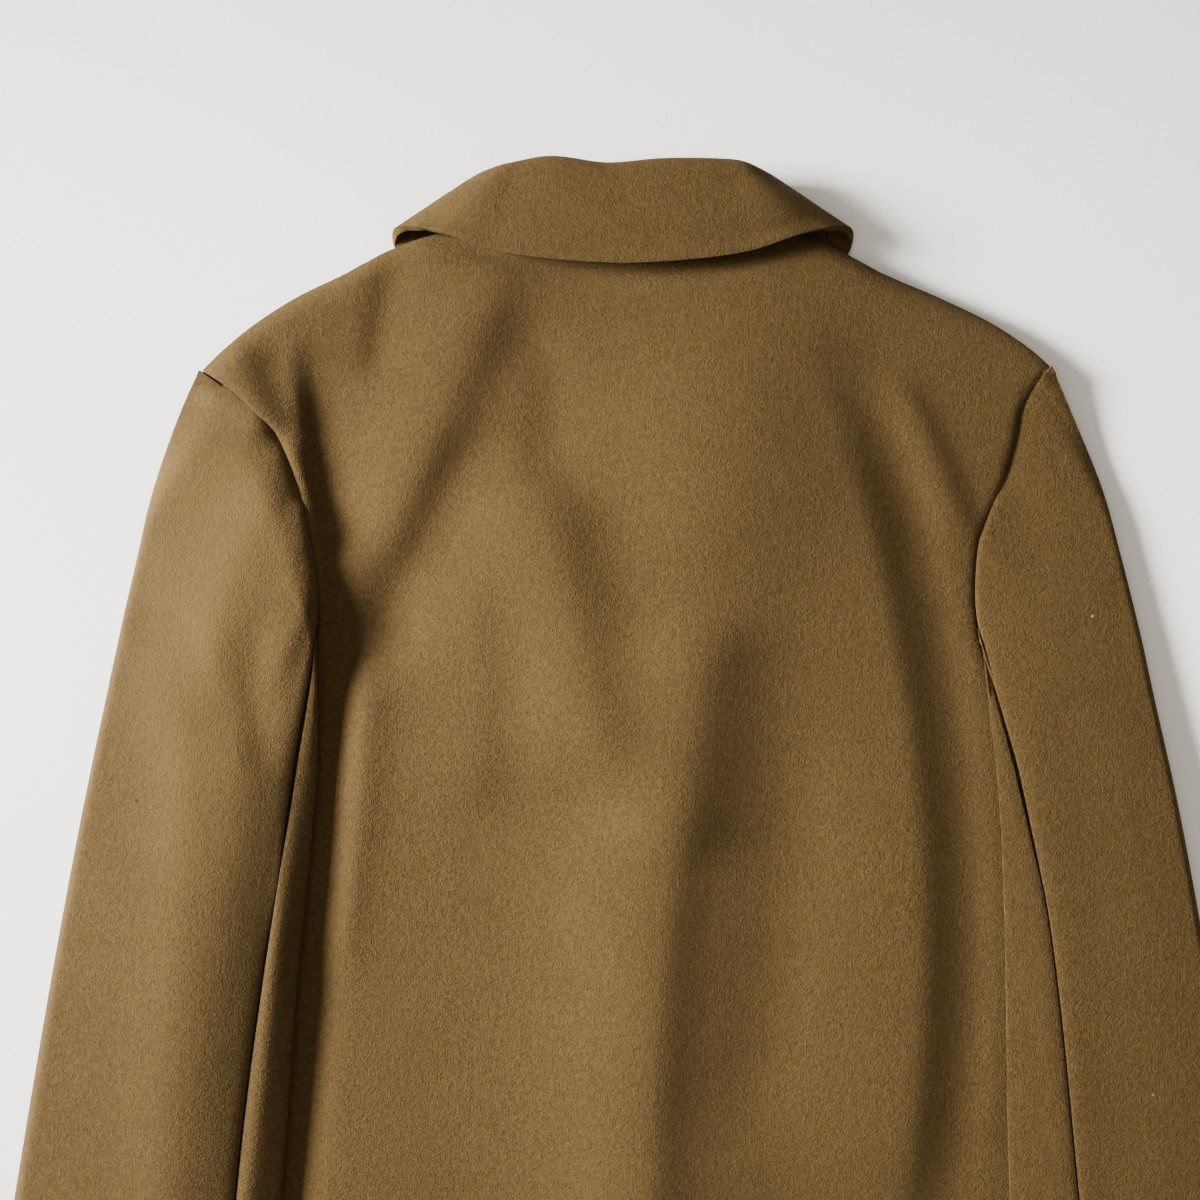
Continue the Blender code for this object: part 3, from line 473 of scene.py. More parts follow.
def shoulder_y(side, out):
    """Height up the coat of the shoulder line and the back neck seam."""
    if out >= NECK_HALF:
        return read_rows(SHOULDER[side], "y", out, key="out")
    part = out / NECK_HALF
    return lerp(NECK_Y, NECK_POINT_Y, smooth_step(part) * part)


def edge_height(side, level):
    """Height of a row at the body's edge: 0 at the hem, 1 at the underarm, 2 at the shoulder."""
    if level <= 1.0:
        return lerp(HEM_Y, UNDERARM_Y, level)
    return lerp(UNDERARM_Y, ARMHOLE[side][-1].y, level - 1.0)


print("half width at the hem, mm:", body_edge(1, HEM_Y))

# %% [markdown]
# ## Folds
#
# A fold is a soft ridge or trough that runs along a bent line. Each row of the table gives three points
# of its crest, how high it is, and how wide its left and right flanks are. A narrow flank is steep and
# reads as a dark or bright streak, because the light comes from the left.

# %% Tables of the folds
Fold = namedtuple("Fold", "name top middle foot height left right")
FOLD_FADE = 0.28  # share of its length over which each end fades
FOLD_PAST_END = 0.3  # share of that fade past the end
FOLDS = (
    Fold("centre tent", (58, 40), (24, -240), (16, -560), 9.0, 56, 58),
    Fold("upper part of the tent", (46, -130), (36, -185), (26, -265), 5.0, 32, 26),
    Fold("steep side of the tent", (28, -235), (18, -320), (14, -520), 4.0, 48, 18),
    Fold("swell left of the centre", (-50, -50), (-28, -150), (-14, -225), 8.5, 42, 27),
    Fold("soft ridge left of the centre", (-88, -110), (-80, -170), (-82, -240), 2.5, 36, 16),
    Fold("trough below the collar", (-48, 28), (-40, -20), (-30, -75), -1.5, 24, 16),
    Fold("diagonal from left blade", (-66, 62), (-106, -42), (-150, -128), 4.2, 26, 18),
    Fold("valley under the diagonal", (-80, -30), (-106, -92), (-144, -162), -2.5, 14, 24),
    Fold("short one by the left blade", (-122, 72), (-129, 30), (-134, -5), -2.2, 8, 14),
    Fold("first roll by left armhole", (-207, 18), (-203, -8), (-193, -32), 4.5, 20, 12),
    Fold("second roll by left armhole", (-178, 20), (-175, -14), (-171, -46), 1.5, 5, 8),
    Fold("trough by left armhole", (-170, 10), (-162, -50), (-150, -165), -5.5, 8, 34),
    Fold("beside the left sleeve", (-150, -140), (-160, -285), (-186, -520), -4.0, 20, 10),
    Fold("small left ridge", (-138, -160), (-146, -235), (-156, -330), 2.6, 13, 13),
    Fold("ridge in the armhole's shade", (-150, -92), (-147, -124), (-145, -152), 2.4, 10, 14),
    Fold("lip of the left armhole", (-189, -24), (-166, -98), (-165, -150), 6.0, 26, 9),
    Fold("dip at the left armhole", (-188, -28), (-183, -46), (-177, -72), -3.0, 14, 11),
    Fold("small ridge below the collar", (-52, 6), (-56, -26), (-61, -60), 1.1, 17, 12),
    Fold("long right ridge", (96, 14), (152, -215), (136, -500), 6.8, 80, 20),
    Fold("step beside the crest", (92, -190), (88, -270), (66, -420), -2.0, 30, 24),
    Fold("wedge by right armhole", (146, -2), (168, -47), (185, -91), 2.2, 14, 8),
    Fold("ridge by right armhole", (152, -10), (190, -160), (190, -470), 1.2, 10, 14),
    Fold("hem wave left", (-150, -560), (-160, -720), (-170, -930), 4.0, 40, 34),
    Fold("hem wave centre", (30, -600), (40, -760), (52, -930), 4.5, 38, 34),
    Fold("hem wave right", (170, -560), (178, -720), (190, -930), 4.0, 36, 34),
)
SLEEVE_FOLDS = (
    Fold("left head", (-226, -20), (-222, -90), (-216, -180), 2.0, 12, 12),
    Fold("roof of the left upper arm", (-186, -24), (-185, -100), (-194, -178), 2.6, 44, 8),
    Fold("welt beside the left seam", (-180, -235), (-190, -335), (-222, -600), 2.0, 3, 12),
    Fold("roof of the left lower arm", (-196, -190), (-212, -290), (-230, -520), 4.0, 46, 26),
    Fold("short dip on the left arm", (-204, -130), (-196, -180), (-192, -215), -1.5, 9, 8),
    Fold("left outer ridge", (-238, -120), (-236, -280), (-262, -560), 1.5, 18, 16),
    Fold("right back valley", (236, -150), (256, -300), (270, -560), -0.5, 16, 20),
)


def through_three(fold, y):
    """X of a fold's crest at height y, through its three points."""
    (x0, y0), (x1, y1), (x2, y2) = fold.top, fold.middle, fold.foot
    return (x0 * (y - y1) * (y - y2) / ((y0 - y1) * (y0 - y2))
            + x1 * (y - y0) * (y - y2) / ((y1 - y0) * (y1 - y2))
            + x2 * (y - y0) * (y - y1) / ((y2 - y0) * (y2 - y1)))


@lru_cache(maxsize=200000)
def fold_at(fold, y):
    """(strength, crest's x, slope's length) of a fold at height y."""
    top_y = fold.top[1]
    foot_y = fold.foot[1]
    fade = FOLD_FADE * (top_y - foot_y)
    along = smooth_step((top_y + FOLD_PAST_END * fade - y) / fade)
    along *= smooth_step((y - foot_y + FOLD_PAST_END * fade) / fade)
    if along <= 0.0:
        return 0.0, 0.0, 1.0
    at = min(top_y, max(foot_y, y))
    slope = (through_three(fold, at + 1.0) - through_three(fold, at - 1.0)) / 2.0
    return along, through_three(fold, at), math.hypot(1.0, slope)


def fold_height(folds, x, y):
    """Sum of the folds' heights at one place."""
    total = 0.0
    for fold in folds:
        along, crest, length = fold_at(fold, y)
        if along <= 0.0:
            continue
        across = (x - crest) / length
        width = fold.left if across < 0 else fold.right
        total += fold.height * along * math.exp(-(across / width) ** 2)
    return total


print("folds on the back:", len(FOLDS), "and on the sleeves:", len(SLEEVE_FOLDS))

# %% [markdown]
# ## The back
#
# The back is cut in one piece, from the neck seam to the hem. It lies on the fronts and on whatever is
# folded inside, so it is highest along the middle and turns down at the sides and shoulders.

# %% The back's height
Loft = namedtuple("Loft", "y z")
BACK_LOFT = (Loft(-900, 12.0), Loft(-600, 11.5), Loft(-400, 11.0), Loft(-200, 12.0),
             Loft(-60, 15.0), Loft(20, 17.5), Loft(60, 18.5), Loft(90, 17.0))
DOME_HALF = 285.0  # the loft falls away toward the sides
DOME_DROP = {-1: 0.16, 1: 0.46}
SIDE_EDGE_Z = 4.6  # height at the side seam
SIDE_TURN = 34.0  # the sides turn down this near the seam
SIDE_TURN_RISE = 50.0
SIDE_TURN_FADE = 70.0
SHOULDER_MID_Z = 11.6  # height of the shoulder point
SHOULDER_TURN = 16.0  # the shoulders turn down this near their line
SHOULDER_FROM = 54.0
SHOULDER_FROM_FADE = 40.0
SHOULDER_LIFT = 0.4


@lru_cache(maxsize=400000)
def back_top(x, y):
    """Height of the upper face of the back, before its edges turn down."""
    side = -1 if x < 0 else 1
    dome = 1.0 - DOME_DROP[side] * min(1.0, abs(x) / DOME_HALF) ** 2
    return read_rows(BACK_LOFT, "z", y) * dome + fold_height(FOLDS, x, y)


LEAF_EDGE_OUT = (0.0, 34.0, 68.0, 98.0, 112.0)
LEAF_EDGE_Y = (56.0, 58.0, 63.0, 73.0, 77.0)
CREASE_DEEP = 3.6
CREASE_WIDE = 5.0
CREASE_END = 100.0
CREASE_END_FADE = 14.0


def crease_under_collar(out, y):
    """The back sinks a little along the edge of the collar's fall, which presses on it."""
    edge = read_curve(LEAF_EDGE_OUT, LEAF_EDGE_Y, out)
    gone = smooth_step((out - CREASE_END) / CREASE_END_FADE)
    return CREASE_DEEP * math.exp(-((y - edge) / CREASE_WIDE) ** 2) * (1.0 - gone)


def back_point(side, out, y, to_shoulder):
    """Point of the back's upper face; its sides and shoulders turn down."""
    x = side * out
    z = back_top(x, y)
    below_arm = smooth_step((UNDERARM_Y + SIDE_TURN_RISE - y) / SIDE_TURN_FADE)
    turn = round_over(body_edge(side, min(y, UNDERARM_Y)) - out, SIDE_TURN)
    z = lerp(z, lerp(SIDE_EDGE_Z, z, turn), below_arm)
    if out > SHOULDER_FROM:
        rolled = round_over(to_shoulder, SHOULDER_TURN)
        outside = smooth_step((out - SHOULDER_FROM) / SHOULDER_FROM_FADE)
        z = lerp(z, lerp(SHOULDER_MID_Z + SHOULDER_LIFT, z, rolled), outside)
    return (x, y, z - crease_under_collar(out, y))


# %% The back's sheet
BACK_COLUMNS = 148
BACK_ROWS_BELOW = 154
BACK_ROWS_ABOVE = 66
BACK_PRESS = 1.1
PANEL_EDGE = 0.6


def back_points():
    grid = []
    levels = [i / BACK_ROWS_BELOW for i in range(BACK_ROWS_BELOW)]
    levels += [1.0 + i / BACK_ROWS_ABOVE for i in range(BACK_ROWS_ABOVE + 1)]
    for level in levels:
        row = []
        for i in range(BACK_COLUMNS + 1):
            u = 2.0 * i / BACK_COLUMNS - 1.0
            side = -1 if u < 0 else 1
            shoulder_level = ARMHOLE[side][-1].y
            edge_y = edge_height(side, level)
            out = (body_edge(side, edge_y) - BACK_DRAW_IN * smooth_step(level - 1.0)) * abs(u)
            top = shoulder_y(side, ARMHOLE[side][-1].out * abs(u))
            y = edge_y + max(0.0, level - 1.0) * (top - shoulder_level)
            row.append(back_point(side, out, y, shoulder_y(side, out) - y))
        grid.append(row)
    return press_edges(grid, ("left", "right", "top"), BACK_PRESS, PRESS_REACH)


BACK = lay_cloth("back_cloth", back_points(), CLOTH, MELTON, edge_round=PANEL_EDGE)
stands_for(BACK, "back")

# %% [markdown]
# ## The fronts, the placket and the stand
#
# These lie underneath and can't be seen in the picture, but the coat needs them. The left front lies on
# the table. The right front overlaps it along the centre, with the placket and the buttons between.
# Near the neck both fronts lie on the collar's front ends.

# %% The fronts
BUTTON_STAND = 28.0
FRONT_NECK_Y = 8.0
COLLAR_END = 118.0
COLLAR_CLOTH = 4.0
STAND_CLOTH = 2.6
BUTTON_THICK = 2.4
PLACKET_THICK = 1.5
PLACKET_HALF = 24.0
PLACKET_TOP_Y = -60.0
PLACKET_FOOT_Y = -470.0
PLACKET_Z = CLOTH + GAP + BUTTON_THICK + GAP
FRONT_RIGHT_Z = PLACKET_Z + PLACKET_THICK + GAP
LEAF_STEP = COLLAR_CLOTH + GAP + 0.5
FRONT_ROWS = 150
FRONT_COLUMNS = 62
FRONT_LIFT_X = BUTTON_STAND + 34.0  # past the placket, the right front comes down
FRONT_LIFT_FADE = 28.0
LEAF_UNDER_Y = -52.0  # where the collar's front leaf ends, under the fronts
LEAF_UNDER_Y_FADE = 24.0
LEAF_UNDER_X = 170.0
LEAF_UNDER_X_FADE = 32.0
FRONT_NECK_BACK = 7.0  # the front neck lies below the back's
FRONT_NECK_OUT = 142.0
FRONT_NECK_FADE = 16.0
FRONT_NECK_BEND = 2.2  # power of its curve
FRONT_TURN = 12.0  # a front turns up this near the shoulder line
FRONT_TURN_Z = 9.4
FRONT_TURN_FADE = 16.0


def over_leaf(x, y):
    """1 where the collar's front leaf lies under a front, 0 away from it."""
    return (smooth_step((y - LEAF_UNDER_Y) / LEAF_UNDER_Y_FADE)
            * smooth_step((LEAF_UNDER_X - abs(x)) / LEAF_UNDER_X_FADE))


def front_top_y(side, out):
    """A front's top: the shoulder, then the neck seam down to the centre front."""
    if out >= NECK_HALF:
        inner = smooth_step((FRONT_NECK_OUT - out) / FRONT_NECK_FADE)
        return shoulder_y(side, out) - FRONT_NECK_BACK * inner
    part = (max(0.0, out) / NECK_HALF) ** FRONT_NECK_BEND
    return lerp(FRONT_NECK_Y, NECK_POINT_Y - FRONT_NECK_BACK, part)


def front_floor(side, x, y):
    """Height of the under face of a front."""
    under = LEAF_STEP * over_leaf(x, y)
    if side < 0:
        return under
    return under + FRONT_RIGHT_Z * smooth_step((FRONT_LIFT_X - x) / FRONT_LIFT_FADE)


def front_points(side):
    grid = []
    for j in range(FRONT_ROWS + 1):
        level = 2.0 * j / FRONT_ROWS
        row = []
        for i in range(FRONT_COLUMNS + 1):
            u = i / FRONT_COLUMNS
            shoulder_level = ARMHOLE[side][-1].y
            edge_y = edge_height(side, level)
            out = lerp(-BUTTON_STAND, body_edge(side, edge_y) - FRONT_DRAW_IN, u)
            top = front_top_y(side, lerp(-BUTTON_STAND, ARMHOLE[side][-1].out, u))
            y = edge_y + max(0.0, level - 1.0) * (top - shoulder_level)
            x = side * out
            z = front_floor(side, x, y) + CLOTH
            if out >= NECK_HALF:
                lift = 1.0 - round_over(front_top_y(side, out) - y, FRONT_TURN)
                lift *= smooth_step((out - COLLAR_END) / FRONT_TURN_FADE)
                z += lift * max(0.0, FRONT_TURN_Z - z)
            row.append((x, y, z))
        grid.append(row)
    return grid


for side, word, flat_area in ((-1, "left", 0.268), (1, "right", 0.274)):
    front = lay_cloth("front_%s_cloth" % word, front_points(side), CLOTH, MELTON_UNDER,
                      flip=side < 0, edge_round=PANEL_EDGE)
    stands_for(front, "front_" + word)

# %% [markdown]
# The placket is a narrow strip with a buttonhole for each button. It is made as a sheet, and the holes
# are cut by small boxes and Boolean, so that the buttons' shanks pass through.

# %% The placket
BUTTON_TOP_Y = -84.0
BUTTON_STEP = 115.0
BUTTON_COUNT = 4
HOLE_WIDE = 24.0
HOLE_HIGH = 4.6
HOLE_CUT = 8.0
PLACKET_ROWS = 100
PLACKET_COLUMNS = 12


def make_placket():
    grid = []
    for j in range(PLACKET_ROWS + 1):
        y = lerp(PLACKET_FOOT_Y, PLACKET_TOP_Y, j / PLACKET_ROWS)
        row = []
        for i in range(PLACKET_COLUMNS + 1):
            x = lerp(-PLACKET_HALF, PLACKET_HALF, i / PLACKET_COLUMNS)
            row.append((x, y, PLACKET_Z + PLACKET_THICK))
        grid.append(row)
    strip = lay_cloth("placket_cloth", grid, PLACKET_THICK, MELTON_UNDER)
    for k in range(BUTTON_COUNT):
        bpy.ops.object.select_all(action="DESELECT")
        spot = placed((0.0, BUTTON_TOP_Y - k * BUTTON_STEP, PLACKET_Z))
        bpy.ops.mesh.primitive_cube_add(size=1.0, location=spot)
        cutter = bpy.context.object
        cutter.scale = (HOLE_WIDE * MM, HOLE_HIGH * MM, HOLE_CUT * MM)
        bpy.ops.object.select_all(action="DESELECT")
        bpy.context.view_layer.objects.active = strip
        bpy.ops.object.modifier_add(type="BOOLEAN")
        cut = strip.modifiers[-1]
        cut.operation = "DIFFERENCE"
        cut.object = cutter
        bpy.ops.object.modifier_apply(modifier=cut.name)
        bpy.data.objects.remove(cutter)
    return strip


PLACKET = make_placket()
stands_for(PLACKET, "fly_placket")
print("placket faces with its four holes:", len(PLACKET.data.polygons))

# %% [markdown]
# ## The collar
#
# The collar is a stand and a fall. The stand rises from the neck seam, and the fall rolls over it and
# lies on the back. Its edge is two layers thick and turned, so it is the roundest edge of the coat and
# throws a thin shadow. At the sides it bends round the neck and lies flat under the fronts.

# %% The fall and the stand
Station = namedtuple("Station", "at roll_x roll_y leaf_x leaf_y neck_x neck_y leaf_z roll_z")
COLLAR = (
    Station(0.00, 0, 114, 0, 56, 0, 77, 28, 22),
    Station(0.18, 30, 114, 34, 58, 32, 78, 28, 22),
    Station(0.34, 52, 113.5, 68, 63, 58, 81, 27, 22),
    Station(0.47, 66, 112, 98, 73, 77, 82, 25, 20),
    Station(0.55, 77, 108, 121, 78, 84, 83, 15, 12),
    Station(0.61, 78, 103, 125, 71, 84, 79, 0.5, 0.5),
    Station(0.70, 66, 92, 114, 50, 78, 68, 0, 0),
    Station(0.86, 38, 66, 94, 12, 48, 38, 0, 0),
    Station(1.00, 12, 43, 66, -22, 12, 12, 0, 0),
)
Wave = namedtuple("Wave", "x lift")
ROLL_WAVE = (Wave(-110, -0.5), Wave(-63, -2.0), Wave(-38, 0.6), Wave(-9, -3.0), Wave(20, -0.8),
             Wave(52, -0.4), Wave(110, -0.5))
ROLL_PART = 0.3  # share of the fall's rows in the roll
ROLL_DEPTH = 9.0  # the roll's top from its edge
ROLL_START = -50.0  # angle, under its edge
LEAF_FOLD_AT = 0.60  # from this station back it rolls over the neck
LEAF_FOLD_FADE = 0.14
LEAF_BELLY = 2.5  # how far the fall bows up
LEAF_RESTS_AT = 0.52  # from this station back it lies on the coat
LEAF_RESTS_FROM = 0.5
LEAF_RESTS_FADE = 0.3
LEAF_REST_Y = 70.0  # the coat's height is read below here
LEAF_REST_IN = 60.0
LEAF_CURL = 1.4  # the turned edge stands up
LEAF_CURL_WIDE = 0.14
STAND_FOLD_AT = 0.65  # from this station back it stands at the neck
STAND_FOLD_FADE = 0.15
STAND_NECK_Z = 19.0  # height at the neck seam
STAND_ROLL_Z = 14.2  # and under the roll
STAND_DRAW_X = 12.0  # its upper edge draws in at the side
STAND_DRAW_Y = 6.0
STAND_BACK_IN = 4.0
STAND_NECK_OUT = 0.8
STAND_DRAW_RISE = 0.45  # stations where the draw comes and goes
STAND_DRAW_END = 0.95
STAND_DRAW_FALL = 0.25


def collar_value(field, at):
    return read_rows(COLLAR, field, at, key="at")


def collar_point(side, at, down):
    """Point of the fall's outer face: down is 0 at the roll and 1 at its edge."""
    on_back = smooth_step((LEAF_FOLD_AT - at) / LEAF_FOLD_FADE)
    turned = min(1.0, down / ROLL_PART)
    angle = math.radians(lerp(ROLL_START * on_back, 90.0, turned))
    from_roll = ROLL_DEPTH * (1.0 - math.cos(angle)) * on_back
    roll_x, roll_y = collar_value("roll_x", at), collar_value("roll_y", at)
    leaf_x, leaf_y = collar_value("leaf_x", at), collar_value("leaf_y", at)
    length = math.hypot(leaf_x - roll_x, leaf_y - roll_y)
    beyond = max(0.0, (down - ROLL_PART) / (1.0 - ROLL_PART))
    flat = lerp(from_roll, length, beyond) / length if on_back > 0 else down
    flat = lerp(down, flat, on_back)
    x = lerp(roll_x, leaf_x, flat)
    y = lerp(roll_y, leaf_y, flat)
    y += read_rows(ROLL_WAVE, "lift", side * x, key="x") * (1.0 - flat) * on_back
    mid_z = collar_value("roll_z", at)
    top_z = collar_value("leaf_z", at)
    z = mid_z + (top_z - mid_z) * math.sin(angle)
    z += LEAF_BELLY * math.sin(math.pi * beyond) * on_back
    if at < LEAF_RESTS_AT:
        rest = back_point(side, x, min(y, LEAF_REST_Y), LEAF_REST_IN)[2] + COLLAR_CLOTH + REST_GAP
        z = max(z, lerp(z, rest, smooth_step((down - LEAF_RESTS_FROM) / LEAF_RESTS_FADE)))
        z += LEAF_CURL * smooth_step((down - 1.0 + LEAF_CURL_WIDE) / LEAF_CURL_WIDE)
    return (side * x, y, max(z, 0.0))


def stand_point(side, at, up):
    """Point of the stand's outer face, from the neck seam up to the roll."""
    draw_in = smooth_step(at / STAND_DRAW_RISE)
    draw_in *= smooth_step((STAND_DRAW_END - at) / STAND_DRAW_FALL)
    top_x = collar_value("roll_x", at) - STAND_DRAW_X * draw_in
    top_y = collar_value("roll_y", at) - STAND_BACK_IN - STAND_DRAW_Y * draw_in
    x = lerp(collar_value("neck_x", at), top_x, up)
    y = lerp(collar_value("neck_y", at) + GAP, top_y, up)
    on_back = smooth_step((STAND_FOLD_AT - at) / STAND_FOLD_FADE)
    back_z = lerp(STAND_NECK_Z, STAND_ROLL_Z, up)
    return (side * x, y + STAND_NECK_OUT, lerp(LEAF_STEP, back_z, on_back))


def both_sides(point_of, half_columns, rows):
    """A grid that runs from the left front end, round the neck, to the right one."""
    grid = []
    for j in range(rows + 1):
        row = []
        for i in range(-half_columns, half_columns + 1):
            row.append(point_of(-1 if i < 0 else 1, abs(i) / half_columns, j / rows))
        grid.append(row)
    return grid


STAND_COLUMNS, STAND_ROWS = 60, 12
FALL_COLUMNS, FALL_ROWS = 84, 34
FALL_EDGE = 1.6
grid = both_sides(stand_point, STAND_COLUMNS, STAND_ROWS)
STAND = lay_cloth("stand_cloth", grid, STAND_CLOTH, MELTON_UNDER)
stands_for(STAND, "collar_stand")
grid = both_sides(collar_point, FALL_COLUMNS, FALL_ROWS)
FALL = lay_cloth("collar_cloth", grid, COLLAR_CLOTH, MELTON, flip=True, edge_round=FALL_EDGE,
                 edge_steps=4)
stands_for(FALL, "collar")

# %% [markdown]
# ## The sleeves
#
# A coat sleeve is a tube of two pieces. The seam between them runs down the back of the arm and shows
# in the picture. The other one is under the arm. We walk round the tube by a number called turn, from 0
# at the inner fold over the top to 0.5 at the outer fold, and back underneath to 1. The tube's mouth is
# drawn to the armhole, and lower down it takes up its own, flatter form.

# %% The sleeve's tables
Level = namedtuple("Level", "y outer inner seam crest")
SLEEVE = {
    -1: (Level(5, 230, 194, 194, 22), Level(-15, 239, 188, 188, 25),
         Level(-60, 252, 175, 175, 26), Level(-96, 260, 168, 168, 25),
         Level(-135, 269, 164, 168, 24.5), Level(-177, 278, 162, 171, 24),
         Level(-245, 292, 167, 180, 24.5), Level(-326, 307, 175, 193, 24),
         Level(-420, 323, 182, 205, 22), Level(-600, 352, 198, 222, 20)),
    1: (Level(5, 232, 208, 208, 14.5), Level(-15, 240, 203, 203, 13.5),
        Level(-60, 257, 198, 198, 13), Level(-96, 267, 192, 192, 13),
        Level(-140, 278, 193, 197, 14.2), Level(-177, 286, 196, 203, 16),
        Level(-231, 298, 202, 215, 18), Level(-300, 311, 205, 229, 18),
        Level(-420, 332, 207, 242, 18), Level(-600, 362, 214, 258, 18)),
}
Across = namedtuple("Across", "part high low")
SLEEVE_PROFILE = {
    -1: (Across(0.0, 0.98, 0.68), Across(0.20, 0.97, 0.86), Across(0.38, 0.91, 0.97),
         Across(0.70, 0.75, 0.86), Across(1.0, 0.55, 0.66)),
    1: (Across(0.0, 0.93, 0.93), Across(0.20, 0.95, 0.95), Across(0.38, 0.92, 0.92),
        Across(0.70, 0.81, 0.81), Across(1.0, 0.66, 0.66)),
}
PROFILE_TURNS_Y = -135.0  # above, the column high; below, low
PROFILE_TURN_LENGTH = 90.0
CUFF_Y = -600.0
SLEEVE_RIM = 6.0  # height of the outer fold
RIM_PART = 0.13  # part of a face that turns round each edge
INNER_RIM_SHARE = {-1: 0.10, 1: 0.075}
OUTER_RIM_SHARE = 0.045
RIM_HEIGHT = {-1: 0.65, 1: 0.95}  # the inner fold, between its layers
OUTER_EASE = 2.0  # wider than the solid
FRONT_SEAM = 0.60  # place of the hidden seam, as a turn
BACK_SEAM_START = -137.0  # where the back seam leaves the armhole
MOUTH_REACH = 75.0  # below the armhole it takes up its own form
MOUTH_RISE = {-1: 16.0, 1: 50.0}
MOUTH_FADE = 1.4
MOUTH_SHARE = 0.5  # part of the way above the first level ring
MOUTH_THIN = 0.4  # thickness left at the pressed armhole seam
MOUTH_THIN_ROWS = 5.0
MOUTH_SETTLE = 0.055  # where the layer by the front is clear of it
RING_TOP_Y = -300.0
FRONT_CLEAR = 3.2  # that layer's distance from the front
FRONT_SPREAD = 200.0
OUTER_TRIM = 1.0  # the faces end short of their seams
TRIM_FAR = 0.25
TRIM_MOST = 0.85
TRIM_ROWS = 8.0
TRIM_FADE_ROWS = 4.0
SHOULDER_Z_PART = 9.0  # one part in so many leaves the shoulder point
BACK_LIP_Y = -50.0  # below, the mouth rises on the back's edge
BACK_LIP_FADE = 35.0
LOW_LIP = 3.0
LOW_LIP_FROM = 0.75
LOW_LIP_LENGTH = 0.2
FRONT_LIP_Z = 8.0  # the mouth's height at the top of the front
FRONT_LIP_PART = 6.0
UNDERARM_OUT = 6.5  # outside the seam line at the underarm
UNDERARM_FROM = 0.85
TUCK_WIDE = 1.0  # above, it is tucked under that edge
TUCK_DEEP = {-1: 1.2, 1: 2.0}
TUCK_UNTIL = 0.55
TUCK_FADE = 0.2
TIP_TUCK = 2.6  # and more at the shoulder point
SIDE_CLEAR = 5.0  # beside the back, a sleeve falls to the table
SIDE_FALL = 24.0
UNDERARM_CLEAR = 5.0
UNDERARM_FALL = 40.0


# %% Walk round a sleeve
def resting_height(side, out, y):
    """What a sleeve's under layer lies on: the back, then the floor beside it."""
    edge = body_edge(side, min(y, UNDERARM_Y))
    z = back_top(side * min(out, edge), y) + REST_GAP
    return lerp(z, 0.0, smooth_step((out - edge - SIDE_CLEAR) / SIDE_FALL))


def rim_path(side, part):
    """Across the sleeve (0 to 1) and fullness (0 at a fold's edge) at part of its face."""
    from_edge = min(part, 1.0 - part)
    rim_share = INNER_RIM_SHARE[side] if part < 0.5 else OUTER_RIM_SHARE
    if from_edge < RIM_PART:
        angle = from_edge / RIM_PART * math.pi / 2
        across = rim_share * (1.0 - math.cos(angle))
        full = math.sin(angle)
    else:
        across = lerp(rim_share, 0.5, (from_edge - RIM_PART) / (0.5 - RIM_PART))
        full = 1.0
    return (across if part < 0.5 else 1.0 - across), full


def profile_share(side, across, y):
    """Part of the crest's height that the sleeve's top has at one place."""
    high = read_rows(SLEEVE_PROFILE[side], "high", across, key="part")
    low = read_rows(SLEEVE_PROFILE[side], "low", across, key="part")
    return lerp(high, low, smooth_step((PROFILE_TURNS_Y - y) / PROFILE_TURN_LENGTH))


def sleeve_ring(side, turn, y, by_front=False):
    """Point round the sleeve at height y."""
    turn = turn % 1.0
    outer = read_rows(SLEEVE[side], "outer", y) + OUTER_EASE
    inner = read_rows(SLEEVE[side], "inner", y)
    on_top = turn <= 0.5
    across, full = rim_path(side, 2.0 * turn if on_top else 2.0 - 2.0 * turn)
    out = lerp(inner, outer, across)
    crest = read_rows(SLEEVE[side], "crest", y)
    inner_top = crest * profile_share(side, 0.0, y)
    inner_rim = lerp(resting_height(side, inner, y), inner_top, RIM_HEIGHT[side])
    rim = lerp(inner_rim, SLEEVE_RIM, smooth_step(across))
    if on_top:
        top = crest * profile_share(side, across, y)
        top += fold_height(SLEEVE_FOLDS, side * out, y)
        return (side * out, y, lerp(rim, top, full))
    low = resting_height(side, out, y)
    if by_front:
        low *= smooth_step((UNDERARM_Y - UNDERARM_CLEAR - y) / UNDERARM_FALL)
        rim = SLEEVE_RIM
    return (side * out, y, lerp(rim, low, full))


@lru_cache(maxsize=None)
def seam_turn(side, y):
    """Place round the sleeve of the back seam at height y."""
    outer = read_rows(SLEEVE[side], "outer", y)
    inner = read_rows(SLEEVE[side], "inner", y)
    seam = read_rows(SLEEVE[side], "seam", y)
    across = min(1.0, max(0.0, (seam - inner) / (outer - inner)))
    rim_share = INNER_RIM_SHARE[side]
    if across < rim_share:
        part = math.acos(1.0 - across / rim_share) / (math.pi / 2) * RIM_PART
    else:
        part = lerp(RIM_PART, 0.5, (across - rim_share) / (0.5 - rim_share))
    return part / 2.0


